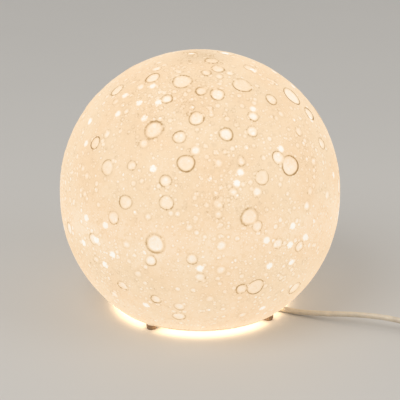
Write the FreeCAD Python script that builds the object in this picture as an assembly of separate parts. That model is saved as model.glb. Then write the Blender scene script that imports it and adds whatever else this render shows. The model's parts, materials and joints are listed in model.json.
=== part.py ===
import FreeCAD, Part
import math
import os

V = FreeCAD.Vector
Z = V(0, 0, 1)
FLOOR = V(0, 0, 0)


def polar(radius, degrees, z=0.0):
    a = math.radians(degrees)
    return V(radius * math.cos(a), radius * math.sin(a), z)


# Millimetres, +Z up. The origin is on the table, under the middle of the shade.

# Small round pieces and holes have this many flat sides.
SMALL_SIDES = 12

# --- driving dimensions: shade ---
SHADE_D = 250.0
BAND = 5.6  # the straight band between the two half spheres
WALL = 3.0
RIM_DROP = 96.2  # from the middle of the lower half sphere down to the rim
FLANGE_T = 5.0  # thick in-turned rim
MOUTH_D = 124.0
LIPPED_FROM = 16.5  # craters at least this wide have a raised lip
LIP_H = 0.45
LIP_W = 0.6
LIP_GROWTH = 0.06  # of the crater's diameter, added to the lip's width
LIP_ROOT = 1.5  # how deep a lip is rooted in the wall
INSERT_AF = 5.0  # across the flats
INSERT_COVER = 0.5

# --- driving dimensions: base ---
FOOT_H = 4.5
FOOT_D = 9.4
FOOT_DRAFT = 0.5  # how much narrower its sole is, all round
FOOT_ROOM = 0.3  # all round its screw's head
FOOT_R = 74.4  # from the axis to the middle of each foot
FOOT_ANGLES = {"front_right": -45, "rear_right": 45, "rear_left": 135, "front_left": 225}
PLATE_T = 1.5
ARM_W = 14.0
ARM_TIP_R = 78.6
HUB_D = 54.0
BEAD_W = 7.0
BEAD_H = 1.2
BEAD_SLOPE = 1.2
BEAD_SPAN = (33.0, 56.0)  # from the axis, along each arm
SCREW_D = 3.0
SCREW_HEAD_D = 5.6
SCREW_FIT = 0.05  # all round a screw in its thread
SCREW_ROOM = 0.2  # all round a screw in a plain hole

RIM_Z = FOOT_H + PLATE_T
LOW_Z = RIM_Z + RIM_DROP
HIGH_Z = LOW_Z + BAND
SHADE_R = SHADE_D / 2
HUB_TOP = RIM_Z

# --- driving dimensions: lampholder and bulb ---
HOLDER_D = 44.0
HOLDER_WALL = 2.0
HOLDER_SCREW_Y = 15.5
HOLDER_SCREW_L = 8.0
NECK_D = 25.0
CARRIER_D = 20.8
SLEEVE_D = 28.0
SLEEVE_FLUTES = 8
CAVITY_TOP = HUB_TOP + 12.0
CARRIER_Z = CAVITY_TOP + 1.5
NECK_TOP = HUB_TOP + 24.0
SHELL_Z = HUB_TOP + 21.0
SHELL_TOP = HUB_TOP + 37.0
SLEEVE_Z = CAVITY_TOP + 5.5
SLEEVE_TOP = HUB_TOP + 40.0
TERMINAL_Z = HUB_TOP + 6.5
TERMINAL_Y = 4.5
TERMINAL_SCREW_Z = TERMINAL_Z + 3.6
LEAD_D = 2.0

BULB_THREAD_D = 13.9
BULB_D = 45.0
BULB_LENGTH = 78.0
BULB_Z = SHELL_Z + 2.0
BULB_CAP_Z = BULB_Z + 4.0
BULB_CAP_TOP = BULB_Z + 21.5
GLOBE_CENTRE_Z = BULB_Z + BULB_LENGTH - BULB_D / 2
GLOBE_EDGE_Z = GLOBE_CENTRE_Z - 12.0
GLOBE_WALL = 1.0
BOARD_Z = GLOBE_EDGE_Z - 2.5
BOARD_T = 1.2
WIRE_DUCT_D = 3.0
LED_RING_R = 11.0
LED_COUNT = 8

# --- driving dimensions: flex ---
CORD_D = 5.0
CORD_SIDES = 6  # the flex is drawn with flat sides, its corners on the round section
CORD_ANGLE = -31.5  # the way the flex leaves the lamp, from +X
ENTRY_ANGLE = -26.0  # the way it leaves the lampholder
ENTRY_DIP = 15.0
ENTRY_Z = 12.0  # at the cup's outer wall
RELIEF_NECK_D = 7.2
RELIEF_IN_R = 16.4
RELIEF_TIP_R = 38.5
BEND_R = 56.0
# Distance from the lamp's axis and height, out to the switch's end face.
CORD_RISE = [(90, 2.6), (120, 5.8), (152, 10.8), (184, 12.0), (207, 8.0), (228, 8.0)]

COIL_TURNS = 6
COIL_CENTRE = V(270, -40, 0)
COIL_R = 39.0  # outermost loop
COIL_STEP = 5.8  # from one loop to the next, sideways and upwards
COIL_CLIMB = 0.5  # in turns

# --- driving dimensions: switch on the flex ---
SWITCH_L = 62.0
SWITCH_W = 27.0
SWITCH_END_W = 15.0
SWITCH_H = 17.0
SWITCH_WALL = 2.0
SWITCH_PART_Z = 8.0  # the joint between the two halves, and the flex's height
SPIGOT_D = 8.4
SPIGOT_L = 3.0
SWITCH_SCREW_X = 20.0
SWITCH_SCREW_SEAT = 1.6  # how deep the heads sit
SWITCH_R = CORD_RISE[-1][0] + SPIGOT_L + SWITCH_L / 2  # its middle, from the lamp's axis
ROCKER_L = 14.8
ROCKER_W = 8.8
ROCKER_Z = 13.2  # height of its pin
ROCKER_PIN_D = 2.0
ROCKER_TILT = 10.0
ROCKER_KEEL = 2.0
ROCKER_VALLEY = 4.4
CONTACT_TOP = 8.6

# The flex from the switch to the coil.
SWITCH_CORD_ROUTE = [
    polar(SWITCH_R + SWITCH_L / 2 + SPIGOT_L, CORD_ANGLE, 8.0),
    polar(320, CORD_ANGLE, 8.0),
    V(300, -176, 4.8),
    V(324, -166, 2.7),
    V(336, -142, 2.6),
    V(334, -111, 2.7),
    V(319, -87, 2.5),
    V(309, -66, 2.5),
    V(309, -45, 2.5),
]

# --- driving dimensions: plug ---
PLUG_W = 35.3
PLUG_BACK_W = 14.0
PLUG_T = 13.7
PLUG_L = 22.0
PLUG_RELIEF_L = 22.0
PLUG_RIBS = 3
PIN_D = 4.0
PIN_GAP = 18.6
PIN_L = 19.0
PIN_SLEEVE_L = 10.0
PLUG_TAIL = V(309, 78, PLUG_T / 2)  # where the flex meets the strain relief

# The flex from the coil's upper end to the plug.
PLUG_CORD_ROUTE = [
    V(309, -35, 8.3),
    V(309, -15, 8.3),
    V(303, 10, 4.6),
    V(304, 36, 3.8),
    V(309, 60, PLUG_TAIL.z),
    PLUG_TAIL,
]

# Craters of the shade: longitude and latitude in degrees, diameter in mm.
# Longitude runs from +X towards +Y. Latitude is counted from the band.
CRATERS = [
    (-27, 49, 18), (-59, 25, 16.5), (-63, 62, 16), (-117, 66, 16), (-117, 0, 15.5),
    (-77, -19, 15), (-124, 42, 15), (-81, 9, 14), (-106, 30, 13.5), (-53, -27, 13),
    (-142, 24, 12.5), (-87, 59, 12), (-102, 48, 12), (-74, 23, 12), (-130, 13, 11.5),
    (-113, 15, 11.5), (-87, 41, 11), (-149, 65, 12),
    (4, -14, 15), (17, 12, 17), (52, -6, 15), (63, 44, 16), (78, -22, 14),
    (95, 7, 17), (123, 20, 15), (158, 38, 16), (176, -17, 15),
]


def cylinder(radius, height, base=FLOOR, axis=Z):
    return Part.makeCylinder(radius, height, base, axis)


def polygon(radius, sides, base=FLOOR):
    corners = [base + polar(radius, 360 / sides * k) for k in range(sides)]
    return Part.makePolygon(corners + corners[:1])


def bar(radius, height, base=FLOOR):
    """A small upright round bar: its corners lie on the round section."""
    return Part.Face(polygon(radius, SMALL_SIDES, base)).extrude(V(0, 0, height))


def bore(radius, height, base=FLOOR):
    """What a small upright hole takes away: its flat sides touch the round section."""
    return bar(radius / math.cos(math.pi / SMALL_SIDES), height, base)


def box(sx, sy, sz, centre, base_z):
    return Part.makeBox(sx, sy, sz, V(centre[0] - sx / 2, centre[1] - sy / 2, base_z))


def revolve(points, axis=Z):
    """A closed outline of (radius, height) points, turned about the Z axis."""
    wire = Part.makePolygon([V(r, 0, z) for r, z in points + points[:1]])
    return Part.Face(wire).revolve(FLOOR, axis, 360)


def arc(radius, centre_z, first, last):
    """Part of an outline: an arc about a point on the axis, between two latitudes in degrees."""
    angles = [math.radians(degrees) for degrees in (first, (first + last) / 2, last)]
    return Part.Arc(*[V(radius * math.cos(a), 0, centre_z + radius * math.sin(a)) for a in angles]).toShape()


def along(shape, base, direction):
    """The shape, made about Z at the origin, stood at base with its Z along direction."""
    out = shape.copy()
    out.Placement = FreeCAD.Placement(base, FreeCAD.Rotation(Z, direction)) * out.Placement
    return out


def save(name, shape):
    shape.exportStep("parts/%s.step" % name)
    print("%-22s solids %d  valid %s  volume %.0f mm3"
          % (name, len(shape.Solids), shape.isValid(), shape.Volume))


# --- shade ---

def shade_face():
    """Half section of the shade: two quarter arcs, the band and the in-turned rim."""
    inner_r = SHADE_R - WALL
    rim_r = math.sqrt(SHADE_R ** 2 - RIM_DROP ** 2)
    flange_top = RIM_Z + FLANGE_T
    inner_low = math.sqrt(inner_r ** 2 - (LOW_Z - flange_top) ** 2)
    rim_angle = -math.degrees(math.asin(RIM_DROP / SHADE_R))
    flange_angle = -math.degrees(math.asin((LOW_Z - flange_top) / inner_r))
    edges = [
        arc(SHADE_R, LOW_Z, rim_angle, 0),
        Part.makeLine(V(SHADE_R, 0, LOW_Z), V(SHADE_R, 0, HIGH_Z)),
        arc(SHADE_R, HIGH_Z, 0, 90),
        Part.makeLine(V(0, 0, HIGH_Z + SHADE_R), V(0, 0, HIGH_Z + inner_r)),
        arc(inner_r, HIGH_Z, 90, 0),
        Part.makeLine(V(inner_r, 0, HIGH_Z), V(inner_r, 0, LOW_Z)),
        arc(inner_r, LOW_Z, 0, flange_angle),
        Part.makeLine(V(inner_low, 0, flange_top), V(MOUTH_D / 2, 0, flange_top)),
        Part.makeLine(V(MOUTH_D / 2, 0, flange_top), V(MOUTH_D / 2, 0, RIM_Z)),
        Part.makeLine(V(MOUTH_D / 2, 0, RIM_Z), V(rim_r, 0, RIM_Z)),
    ]
    return Part.Face(Part.Wire(Part.__sortEdges__(edges)))


def crater_frame(longitude, latitude):
    """The point of the shade's skin at a crater's middle, and its outward direction."""
    lo, la = math.radians(longitude), math.radians(latitude)
    out = V(math.cos(la) * math.cos(lo), math.cos(la) * math.sin(lo), math.sin(la))
    middle_z = HIGH_Z if latitude > 0 else LOW_Z if latitude < 0 else (LOW_Z + HIGH_Z) / 2
    return V(0, 0, middle_z) + out * SHADE_R, out


def slanted_sphere(radius, middle, out, offset):
    """A ball whose own poles lie beside the crater, so that its face there stays even."""
    ball = Part.makeSphere(radius)
    ball.Placement = FreeCAD.Placement(middle + out * offset, FreeCAD.Rotation(V(1, 0, 0), out))
    return ball


def crater_lip(longitude, latitude, diameter):
    """A low cap that reaches past the crater, so that the dish leaves it as a raised lip."""
    middle, out = crater_frame(longitude, latitude)
    crest_r = diameter / 2
    foot_r = crest_r + LIP_W + LIP_GROWTH * diameter
    foot_z = math.sqrt(SHADE_R ** 2 - foot_r ** 2) - SHADE_R
    crest_z = lip_top(diameter)
    centre = (foot_r ** 2 + foot_z ** 2 - crest_r ** 2 - crest_z ** 2) / (2 * (foot_z - crest_z))
    cap = slanted_sphere(math.hypot(foot_r, foot_z - centre), middle, out, centre)
    slab = along(cylinder(foot_r + 4, 6, V(0, 0, -LIP_ROOT)), middle, out)
    return cap.common(slab)


def lip_top(diameter):
    """Height of the crest over the plane that touches the skin at the crater's middle."""
    drop = SHADE_R - math.sqrt(SHADE_R ** 2 - (diameter / 2) ** 2)
    return (LIP_H if diameter >= LIPPED_FROM else 0.0) - drop


def crater_dish(longitude, latitude, diameter):
    middle, out = crater_frame(longitude, latitude)
    depth = 0.25 + 0.05 * diameter
    sag = lip_top(diameter) + depth
    radius = ((diameter / 2) ** 2 + sag ** 2) / (2 * sag)
    return slanted_sphere(radius, middle, out, radius - depth)


def make_shade():
    shell = shade_face().revolve(FLOOR, Z, 360)
    lipped = [crater for crater in CRATERS if crater[2] >= LIPPED_FROM]
    shell = shell.fuse([crater_lip(*crater) for crater in lipped])
    shell = shell.cut([crater_dish(*crater) for crater in CRATERS])
    seats = [hexagon(INSERT_AF, FLANGE_T, polar(FOOT_R, a, RIM_Z)) for a in FOOT_ANGLES.values()]
    return shell.cut(seats)


def hexagon(across_flats, height, base):
    return Part.Face(polygon(across_flats / math.sqrt(3), 6, base)).extrude(V(0, 0, height))


def make_rim_inserts():
    """Six-sided brass inserts moulded into the rim over the feet, flush with its top."""
    tall = FLANGE_T - INSERT_COVER
    inserts = []
    for angle in FOOT_ANGLES.values():
        base = polar(FOOT_R, angle, RIM_Z + INSERT_COVER)
        inserts.append(hexagon(INSERT_AF, tall, base).cut(bore(SCREW_D / 2 + SCREW_FIT, tall, base)))
    return Part.makeCompound(inserts)


# --- base ---

def bead(width, base_z, height):
    """Long low block with sloping sides and ends, as pressed into sheet steel."""
    x0, x1 = BEAD_SPAN
    w, slope = width / 2, BEAD_SLOPE
    low = [V(x0, -w, base_z), V(x1, -w, base_z), V(x1, w, base_z), V(x0, w, base_z)]
    high = [V(x0 + slope, slope - w, 0), V(x1 - slope, slope - w, 0),
            V(x1 - slope, w - slope, 0), V(x0 + slope, w - slope, 0)]
    high = [corner + V(0, 0, base_z + height) for corner in high]
    sections = [Part.makePolygon(corners + corners[:1]) for corners in (low, high)]
    return Part.makeLoft(sections, True, True)


def make_base_cross():
    """Steel plate with four arms, each stiffened by a pressed bead, and round ends."""
    arm_end = ARM_TIP_R - ARM_W / 2
    arm = Part.makeBox(arm_end, ARM_W, PLATE_T, V(0, -ARM_W / 2, 0))
    arm = arm.fuse(bar(ARM_W / 2, PLATE_T, V(arm_end, 0, 0)))
    arm = arm.fuse(bead(BEAD_W, PLATE_T, BEAD_H)).cut(bead(BEAD_W - 2 * BEAD_SLOPE, 0, BEAD_H))
    arm = arm.cut(bore(SCREW_D / 2 + SCREW_ROOM, PLATE_T, V(FOOT_R, 0, 0)))
    plate = cylinder(HUB_D / 2, PLATE_T)
    for angle in FOOT_ANGLES.values():
        plate = plate.fuse(arm.rotated(FLOOR, Z, angle))
    for side in (-1, 1):
        plate = plate.cut(bore(SCREW_D / 2 + SCREW_ROOM, PLATE_T, V(0, side * HOLDER_SCREW_Y, 0)))
    return plate.removeSplitter().translated(V(0, 0, FOOT_H))


def make_foot(angle):
    """Rubber ring round its screw's head, a little wider where it meets the arm."""
    sole = polygon(FOOT_D / 2 - FOOT_DRAFT, SMALL_SIDES)
    top = polygon(FOOT_D / 2, SMALL_SIDES, V(0, 0, FOOT_H))
    foot = Part.makeLoft([sole, top], True, True)
    return foot.cut(bore(SCREW_HEAD_D / 2 + FOOT_ROOM, FOOT_H)).translated(polar(FOOT_R, angle))


def pan_screw(length, shank_d=SCREW_D, head_d=SCREW_HEAD_D, head_h=2.0):
    """Screw with its head's seat at z 0 and its shank upwards."""
    return bar(head_d / 2, head_h, V(0, 0, -head_h)).fuse(bar(shank_d / 2, length))


def make_foot_screws():
    screw = pan_screw(PLATE_T + FLANGE_T)
    spots = [polar(FOOT_R, angle, FOOT_H) for angle in FOOT_ANGLES.values()]
    return Part.makeCompound([screw.translated(spot) for spot in spots])


# --- lampholder ---

def entry_direction():
    """Along the flex as it leaves the lampholder: outwards and slightly down."""
    plan, dip = math.radians(ENTRY_ANGLE), math.radians(ENTRY_DIP)
    return V(math.cos(plan) * math.cos(dip), math.sin(plan) * math.cos(dip), -math.sin(dip))


def entry_point(radius):
    """The flex's axis where it is this far from the lamp's axis."""
    drop = (radius - HOLDER_D / 2) * math.tan(math.radians(ENTRY_DIP))
    return polar(radius, ENTRY_ANGLE, ENTRY_Z - drop)


def make_holder_base():
    """Moulded cup over the terminals, with a neck for the sleeve and two screw bosses."""
    outer, inner = HOLDER_D / 2, HOLDER_D / 2 - HOLDER_WALL
    neck, seat = NECK_D / 2, CARRIER_D / 2 + 0.1
    cup = revolve([
        (inner, HUB_TOP),
        (outer, HUB_TOP),
        (outer - 0.6, CAVITY_TOP),
        (neck, CAVITY_TOP + 4.6),
        (neck, NECK_TOP),
        (seat, NECK_TOP),
        (seat, CARRIER_Z),
        (seat - 2.0, CARRIER_Z),
        (seat - 2.0, CAVITY_TOP),
        (inner, CAVITY_TOP),
    ])
    tall = CAVITY_TOP - HUB_TOP
    for side in (-1, 1):
        middle = V(0, side * HOLDER_SCREW_Y, HUB_TOP)
        web_y = side * (HOLDER_SCREW_Y + inner) / 2
        web = box(1.6, inner - HOLDER_SCREW_Y + 1, tall, (0, web_y), HUB_TOP)
        cup = cup.fuse([bar(3.2, tall + 0.5, middle), web])
        cup = cup.cut(bore(SCREW_D / 2 + SCREW_FIT, HOLDER_SCREW_L + 0.5, middle))
    entry = along(bore(RELIEF_NECK_D / 2 + 0.1, 10), entry_point(outer - 6), entry_direction())
    return cup.cut(entry)


def make_holder_screws():
    screw = pan_screw(HOLDER_SCREW_L + PLATE_T)
    spots = [V(0, side * HOLDER_SCREW_Y, FOOT_H) for side in (-1, 1)]
    return Part.makeCompound([screw.translated(spot) for spot in spots])


def make_contact_carrier():
    """Insulating disc between the terminals below and the thread shell above."""
    return revolve([
        (0, CARRIER_Z),
        (CARRIER_D / 2, CARRIER_Z),
        (CARRIER_D / 2, SHELL_Z),
        (0, SHELL_Z),
    ])


def make_terminals():
    """Two brass blocks under the carrier, side by side across the flex."""
    blocks = []
    for side in (-1, 1):
        block = box(6.0, 4.0, CARRIER_Z - TERMINAL_Z, (0, side * TERMINAL_Y), TERMINAL_Z)
        blocks.append(block.rotated(FLOOR, Z, ENTRY_ANGLE))
    return Part.makeCompound(blocks)


def make_terminal_screws():
    screws = []
    for side in (-1, 1):
        head = along(bar(2.0, 1.4), V(0, side * (TERMINAL_Y + 2.0), TERMINAL_SCREW_Z), V(0, side, 0))
        screws.append(head.rotated(FLOOR, Z, ENTRY_ANGLE))
    return Part.makeCompound(screws)


def make_thread_shell():
    """Brass shell of the lampholder, flanged below."""
    inner = BULB_THREAD_D / 2 + 0.25
    outer = inner + 0.35
    return revolve([
        (inner, SHELL_Z),
        (outer + 1.9, SHELL_Z),
        (outer + 1.9, SHELL_Z + 0.5),
        (outer, SHELL_Z + 0.5),
        (outer, SHELL_TOP),
        (inner, SHELL_TOP),
    ])


def make_centre_contact():
    """Bent brass tongue: a foot on the carrier, a riser, and a tip under the bulb."""
    foot = box(4.4, 2.6, 0.4, (2.0, 0), SHELL_Z)
    riser = box(0.4, 2.6, BULB_Z - SHELL_Z, (4.0, 0), SHELL_Z)
    tip = box(6.2, 2.6, 0.4, (1.1, 0), BULB_Z - 0.4)
    return foot.fuse([riser, tip]).removeSplitter()


def make_holder_sleeve():
    """Outer sleeve screwed on the neck, ribbed for the fingers, turned in at the top."""
    outer, inner = SLEEVE_D / 2, NECK_D / 2 + 0.1
    sleeve = revolve([
        (inner, SLEEVE_Z),
        (outer, SLEEVE_Z),
        (outer, SLEEVE_TOP - 1.5),
        (outer - 1.5, SLEEVE_TOP),
        (BULB_THREAD_D / 2 + 2.0, SLEEVE_TOP),
        (BULB_THREAD_D / 2 + 2.0, SLEEVE_TOP - 1.5),
        (inner, SLEEVE_TOP - 3.0),
    ])
    flute = Part.makeBox(2, 2.4, SLEEVE_TOP - SLEEVE_Z - 7, V(outer - 0.5, -1.2, SLEEVE_Z + 2.5))
    return sleeve.cut([flute.rotated(FLOOR, Z, 360 / SLEEVE_FLUTES * k) for k in range(SLEEVE_FLUTES)])


def make_cord_relief():
    """Rubber strain relief: a collar inside the cup, a neck through its wall, a long taper."""
    start, end = entry_point(RELIEF_IN_R), entry_point(RELIEF_TIP_R)
    length = (end - start).Length
    wall = (entry_point(HOLDER_D / 2 - HOLDER_WALL - 2.1) - start).Length
    collar = (entry_point(HOLDER_D / 2 + 2.0) - start).Length
    outline = revolve([
        (0, 0),
        (4.3, 0),
        (4.3, wall),
        (RELIEF_NECK_D / 2, wall),
        (RELIEF_NECK_D / 2, collar),
        (4.8, collar),
        (CORD_D / 2 + 0.5, length),
        (0, length),
    ])
    return along(outline, start, entry_direction())


def make_lead(side):
    """One insulated core, from the strain relief's inner face to its terminal."""
    start = entry_point(RELIEF_IN_R)
    points = [
        V(RELIEF_IN_R, side * 1.3, start.z),
        V(10.5, side * 4.1, TERMINAL_Z + 1.6),
        V(3.0, side * TERMINAL_Y, TERMINAL_Z + 1.6),
    ]
    turn = FreeCAD.Rotation(Z, ENTRY_ANGLE)
    return tube([turn.multVec(p) for p in points], LEAD_D, "lead")


# --- bulb ---

def make_bulb_contact():
    return revolve([(0, BULB_Z), (1.8, BULB_Z), (2.4, BULB_Z + 0.9), (0, BULB_Z + 0.9)])


def make_bulb_insulator():
    return revolve([
        (0, BULB_Z + 0.9),
        (2.6, BULB_Z + 0.9),
        (5.6, BULB_CAP_Z),
        (0, BULB_CAP_Z),
    ])


def make_bulb_cap():
    """Screw cap, with its thread drawn as a plain cylinder between two necks."""
    radius = BULB_THREAD_D / 2
    return revolve([
        (0, BULB_CAP_Z),
        (radius - 1.2, BULB_CAP_Z),
        (radius, BULB_CAP_Z + 1.2),
        (radius, BULB_CAP_TOP - 2.5),
        (radius + 0.9, BULB_CAP_TOP - 1.5),
        (radius + 0.9, BULB_CAP_TOP),
        (0, BULB_CAP_TOP),
    ])


def make_bulb_housing():
    """Plastic driver housing that widens from the cap to the globe: a wire duct and the board's seat."""
    base_r, top_r = BULB_THREAD_D / 2 + 1.0, globe_edge_r()
    rise = GLOBE_EDGE_Z - BULB_CAP_TOP
    return revolve([
        (WIRE_DUCT_D / 2, BULB_CAP_TOP),
        (base_r, BULB_CAP_TOP),
        (base_r + 0.30 * (top_r - base_r), BULB_CAP_TOP + 0.48 * rise),
        (top_r, GLOBE_EDGE_Z),
        (top_r - 1.2, GLOBE_EDGE_Z),
        (top_r - 1.2, BOARD_Z),
        (WIRE_DUCT_D / 2, BOARD_Z),
    ])


def globe_edge_r(radius=BULB_D / 2):
    return math.sqrt(radius ** 2 - (GLOBE_CENTRE_Z - GLOBE_EDGE_Z) ** 2)


def make_bulb_board():
    return cylinder(globe_edge_r() - 1.5, BOARD_T, V(0, 0, BOARD_Z))


def make_bulb_leds():
    chip = box(3.5, 2.8, 0.7, (0, 0), BOARD_Z + BOARD_T)
    chip = chip.translated(V(LED_RING_R, 0, 0))
    return Part.makeCompound([chip.rotated(FLOOR, Z, 360 / LED_COUNT * k) for k in range(LED_COUNT)])


def make_bulb_globe():
    """Opal dome, open below where it sits on the housing."""
    outer, inner = BULB_D / 2, BULB_D / 2 - GLOBE_WALL
    outer_low, inner_low = [
        math.degrees(math.asin((GLOBE_EDGE_Z - GLOBE_CENTRE_Z) / radius)) for radius in (outer, inner)
    ]
    edges = [
        arc(outer, GLOBE_CENTRE_Z, outer_low, 90),
        Part.makeLine(V(0, 0, GLOBE_CENTRE_Z + outer), V(0, 0, GLOBE_CENTRE_Z + inner)),
        arc(inner, GLOBE_CENTRE_Z, 90, inner_low),
        Part.makeLine(V(globe_edge_r(inner), 0, GLOBE_EDGE_Z), V(globe_edge_r(outer), 0, GLOBE_EDGE_Z)),
    ]
    return Part.Face(Part.Wire(Part.__sortEdges__(edges))).revolve(FLOOR, Z, 360)


# --- flex ---

def rounded_path(points):
    """Straight runs joined by arcs: each arc is as large as its two runs allow."""
    edges, radii = [], []
    start = points[0]
    for before, corner, after in zip(points, points[1:], points[2:]):
        run_in, run_out = corner - before, after - corner
        shorter = min(run_in.Length, run_out.Length)
        towards, away = V(run_in).normalize(), V(run_out).normalize()
        half = towards.getAngle(away) / 2
        radius = 0.45 * shorter / math.tan(half)
        first, last = corner - towards * (0.45 * shorter), corner + away * (0.45 * shorter)
        inwards = (away - towards).normalize()
        middle = corner + inwards * (radius / math.cos(half) - radius)
        edges += [Part.makeLine(start, first), Part.Arc(first, middle, last).toShape()]
        radii.append(radius)
        start = last
    edges.append(Part.makeLine(start, points[-1]))
    length = sum(edge.Length for edge in edges)
    return Part.Wire(edges), radii, length


def sweep(path, start, direction, diameter):
    """A tube along the path, its corners on the flex's round section and a flat side below."""
    ahead = V(direction).normalize()
    side = ahead.cross(Z).normalize()
    up = side.cross(ahead)
    angles = [2 * math.pi * k / CORD_SIDES for k in range(CORD_SIDES)]
    corners = [start + (side * math.cos(a) + up * math.sin(a)) * (diameter / 2) for a in angles]
    profile = Part.makePolygon(corners + corners[:1])
    pipe = Part.BRepOffsetAPI.MakePipeShell(path)
    pipe.add(profile)
    pipe.build()
    pipe.makeSolid()
    return pipe.shape()


def section_area(diameter):
    return CORD_SIDES / 2 * (diameter / 2) ** 2 * math.sin(2 * math.pi / CORD_SIDES)


def tube(points, diameter, name):
    path, radii, length = rounded_path(points)
    solid = sweep(path, points[0], points[1] - points[0], diameter)
    exact = section_area(diameter) * length
    print("%s: length %.1f, radii %s, volume %.4f of section x length"
          % (name, length, " ".join("%.0f" % r for r in radii), solid.Volume / exact))
    return solid


def along_exit(distance, height):
    """A point of the flex where it lies straight out from the lamp."""
    return polar(distance, CORD_ANGLE, height)


def lamp_cord_route():
    return [entry_point(RELIEF_TIP_R), entry_point(BEND_R)] + [along_exit(r, z) for r, z in CORD_RISE]


def arc_middle(start, tangent, end):
    """The middle point of the arc from start to end that leaves along the tangent."""
    chord = end - start
    unit = V(chord).normalize()
    side = tangent - unit * tangent.dot(unit)
    if side.Length < 1e-9:
        return None
    half = tangent.getAngle(chord) / 2
    return (start + end) * 0.5 + side.normalize() * (chord.Length / 2 * math.tan(half))


def coil_point(turn):
    """The coil's axis after this many turns: it spirals in below, climbs, and spirals out above."""
    half = COIL_TURNS / 2
    radius = COIL_R - COIL_STEP * (half - abs(turn - half))
    climb = min(max((turn - half) / COIL_CLIMB + 0.5, 0.0), 1.0)
    height = CORD_D / 2 + COIL_STEP * climb * climb * (3 - 2 * climb)
    angle = 2 * math.pi * turn
    return COIL_CENTRE + V(radius * math.cos(angle), radius * math.sin(angle), height)


def coil_tangent(turn):
    step = 0.001
    return (coil_point(turn + step) - coil_point(turn - step)).normalize()


def make_cord_coil():
    """Loops of the spare flex as one tube, on pairs of arcs that each span half a turn."""
    stations = [k / 2 for k in range(COIL_TURNS * 2 + 1)]
    knots = [coil_point(t) for t in stations]
    tangents = [coil_tangent(t) for t in stations]
    tangents[0] = tangents[-1] = V(0, 1, 0)
    lead_in = knots[0] - V(0, CORD_D, 0)
    lead_out = knots[-1] + V(0, CORD_D, 0)
    edges = [Part.makeLine(lead_in, knots[0])]
    for p0, t0, p1, t1 in zip(knots, tangents, knots[1:], tangents[1:]):
        chord, both = p1 - p0, t0 + t1
        spread = 2 * (1 - t0.dot(t1))
        reach = (-chord.dot(both) + math.sqrt(chord.dot(both) ** 2 + spread * chord.dot(chord))) / spread
        joint = (p0 + p1 + (t0 - t1) * reach) * 0.5
        joint_tangent = (p1 - p0 - (t0 + t1) * reach).normalize()
        edges.append(Part.Arc(p0, arc_middle(p0, t0, joint), joint).toShape())
        edges.append(Part.Arc(joint, arc_middle(joint, joint_tangent, p1), p1).toShape())
    edges.append(Part.makeLine(knots[-1], lead_out))
    path = Part.Wire(edges)
    solid = sweep(path, lead_in, V(0, 1, 0), CORD_D)
    exact = section_area(CORD_D) * path.Length
    print("coil: length %.1f, volume %.4f of section x length, least gap to itself %.2f"
          % (path.Length, solid.Volume / exact, least_gap(path)))
    return solid


def least_gap(path):
    """The smallest gap between stretches of the tube over two diameters apart along it."""
    points = path.discretize(Distance=1.5)
    step = path.Length / (len(points) - 1)
    skip = int(2.5 * CORD_D / step) + 1
    nearest = min(
        (points[i] - points[j]).Length
        for i in range(len(points))
        for j in range(i + skip, len(points))
    )
    return nearest - CORD_D


# --- switch on the flex ---

def switch_placed(shape):
    out = shape.copy()
    spot = FreeCAD.Placement(along_exit(SWITCH_R, 0), FreeCAD.Rotation(Z, CORD_ANGLE))
    out.Placement = spot * out.Placement
    return out


def switch_prism(length, mid_width, end_width, z0, z1, edge_r):
    """Prism with bowed sides and straight ends, rounded corners and eased upper and lower edges."""
    x, w, m = length / 2, end_width / 2, mid_width / 2
    outline = Part.Wire([
        Part.Arc(V(-x, -w, z0), V(0, -m, z0), V(x, -w, z0)).toShape(),
        Part.makeLine(V(x, -w, z0), V(x, w, z0)),
        Part.Arc(V(x, w, z0), V(0, m, z0), V(-x, w, z0)).toShape(),
        Part.makeLine(V(-x, w, z0), V(-x, -w, z0)),
    ])
    prism = Part.Face(outline).extrude(V(0, 0, z1 - z0))
    if edge_r == 0:
        return prism
    uprights = [e for e in prism.Edges if abs(e.BoundBox.ZLength - (z1 - z0)) < 1e-6]
    prism = prism.makeFillet(edge_r, uprights)
    flat = [e for e in prism.Edges if e.BoundBox.ZLength < 1e-6]
    return prism.makeChamfer(edge_r / 2, flat)


def make_switch_case():
    """The closed case, hollow inside, before it is parted into its two halves."""
    outer = switch_prism(SWITCH_L, SWITCH_W, SWITCH_END_W, 0, SWITCH_H, 3.0)
    wall = SWITCH_WALL
    inner = switch_prism(SWITCH_L - 2 * wall, SWITCH_W - 2 * wall, SWITCH_END_W - 2 * wall,
                         wall, SWITCH_H - wall, 0)
    spigot = bar(SPIGOT_D / 2, SPIGOT_L + wall)
    roots = [V(side * (SWITCH_L / 2 - wall), 0, SWITCH_PART_Z) for side in (-1, 1)]
    spigots = [along(spigot, root, V(root.x, 0, 0)) for root in roots]
    posts = [bar(3.0, SWITCH_H - wall, V(side * SWITCH_SCREW_X, 0, wall / 2)) for side in (-1, 1)]
    return outer.cut(inner).fuse(spigots + posts)


def make_switch_lower(case):
    below = Part.makeBox(120, 60, SWITCH_PART_Z, V(-60, -30, 0))
    half = case.common(below)
    for side in (-1, 1):
        x = side * SWITCH_SCREW_X
        half = half.cut([bore(2.3, SWITCH_SCREW_SEAT, V(x, 0, 0)), bore(1.4, SWITCH_PART_Z, V(x, 0, 0))])
    return half


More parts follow.
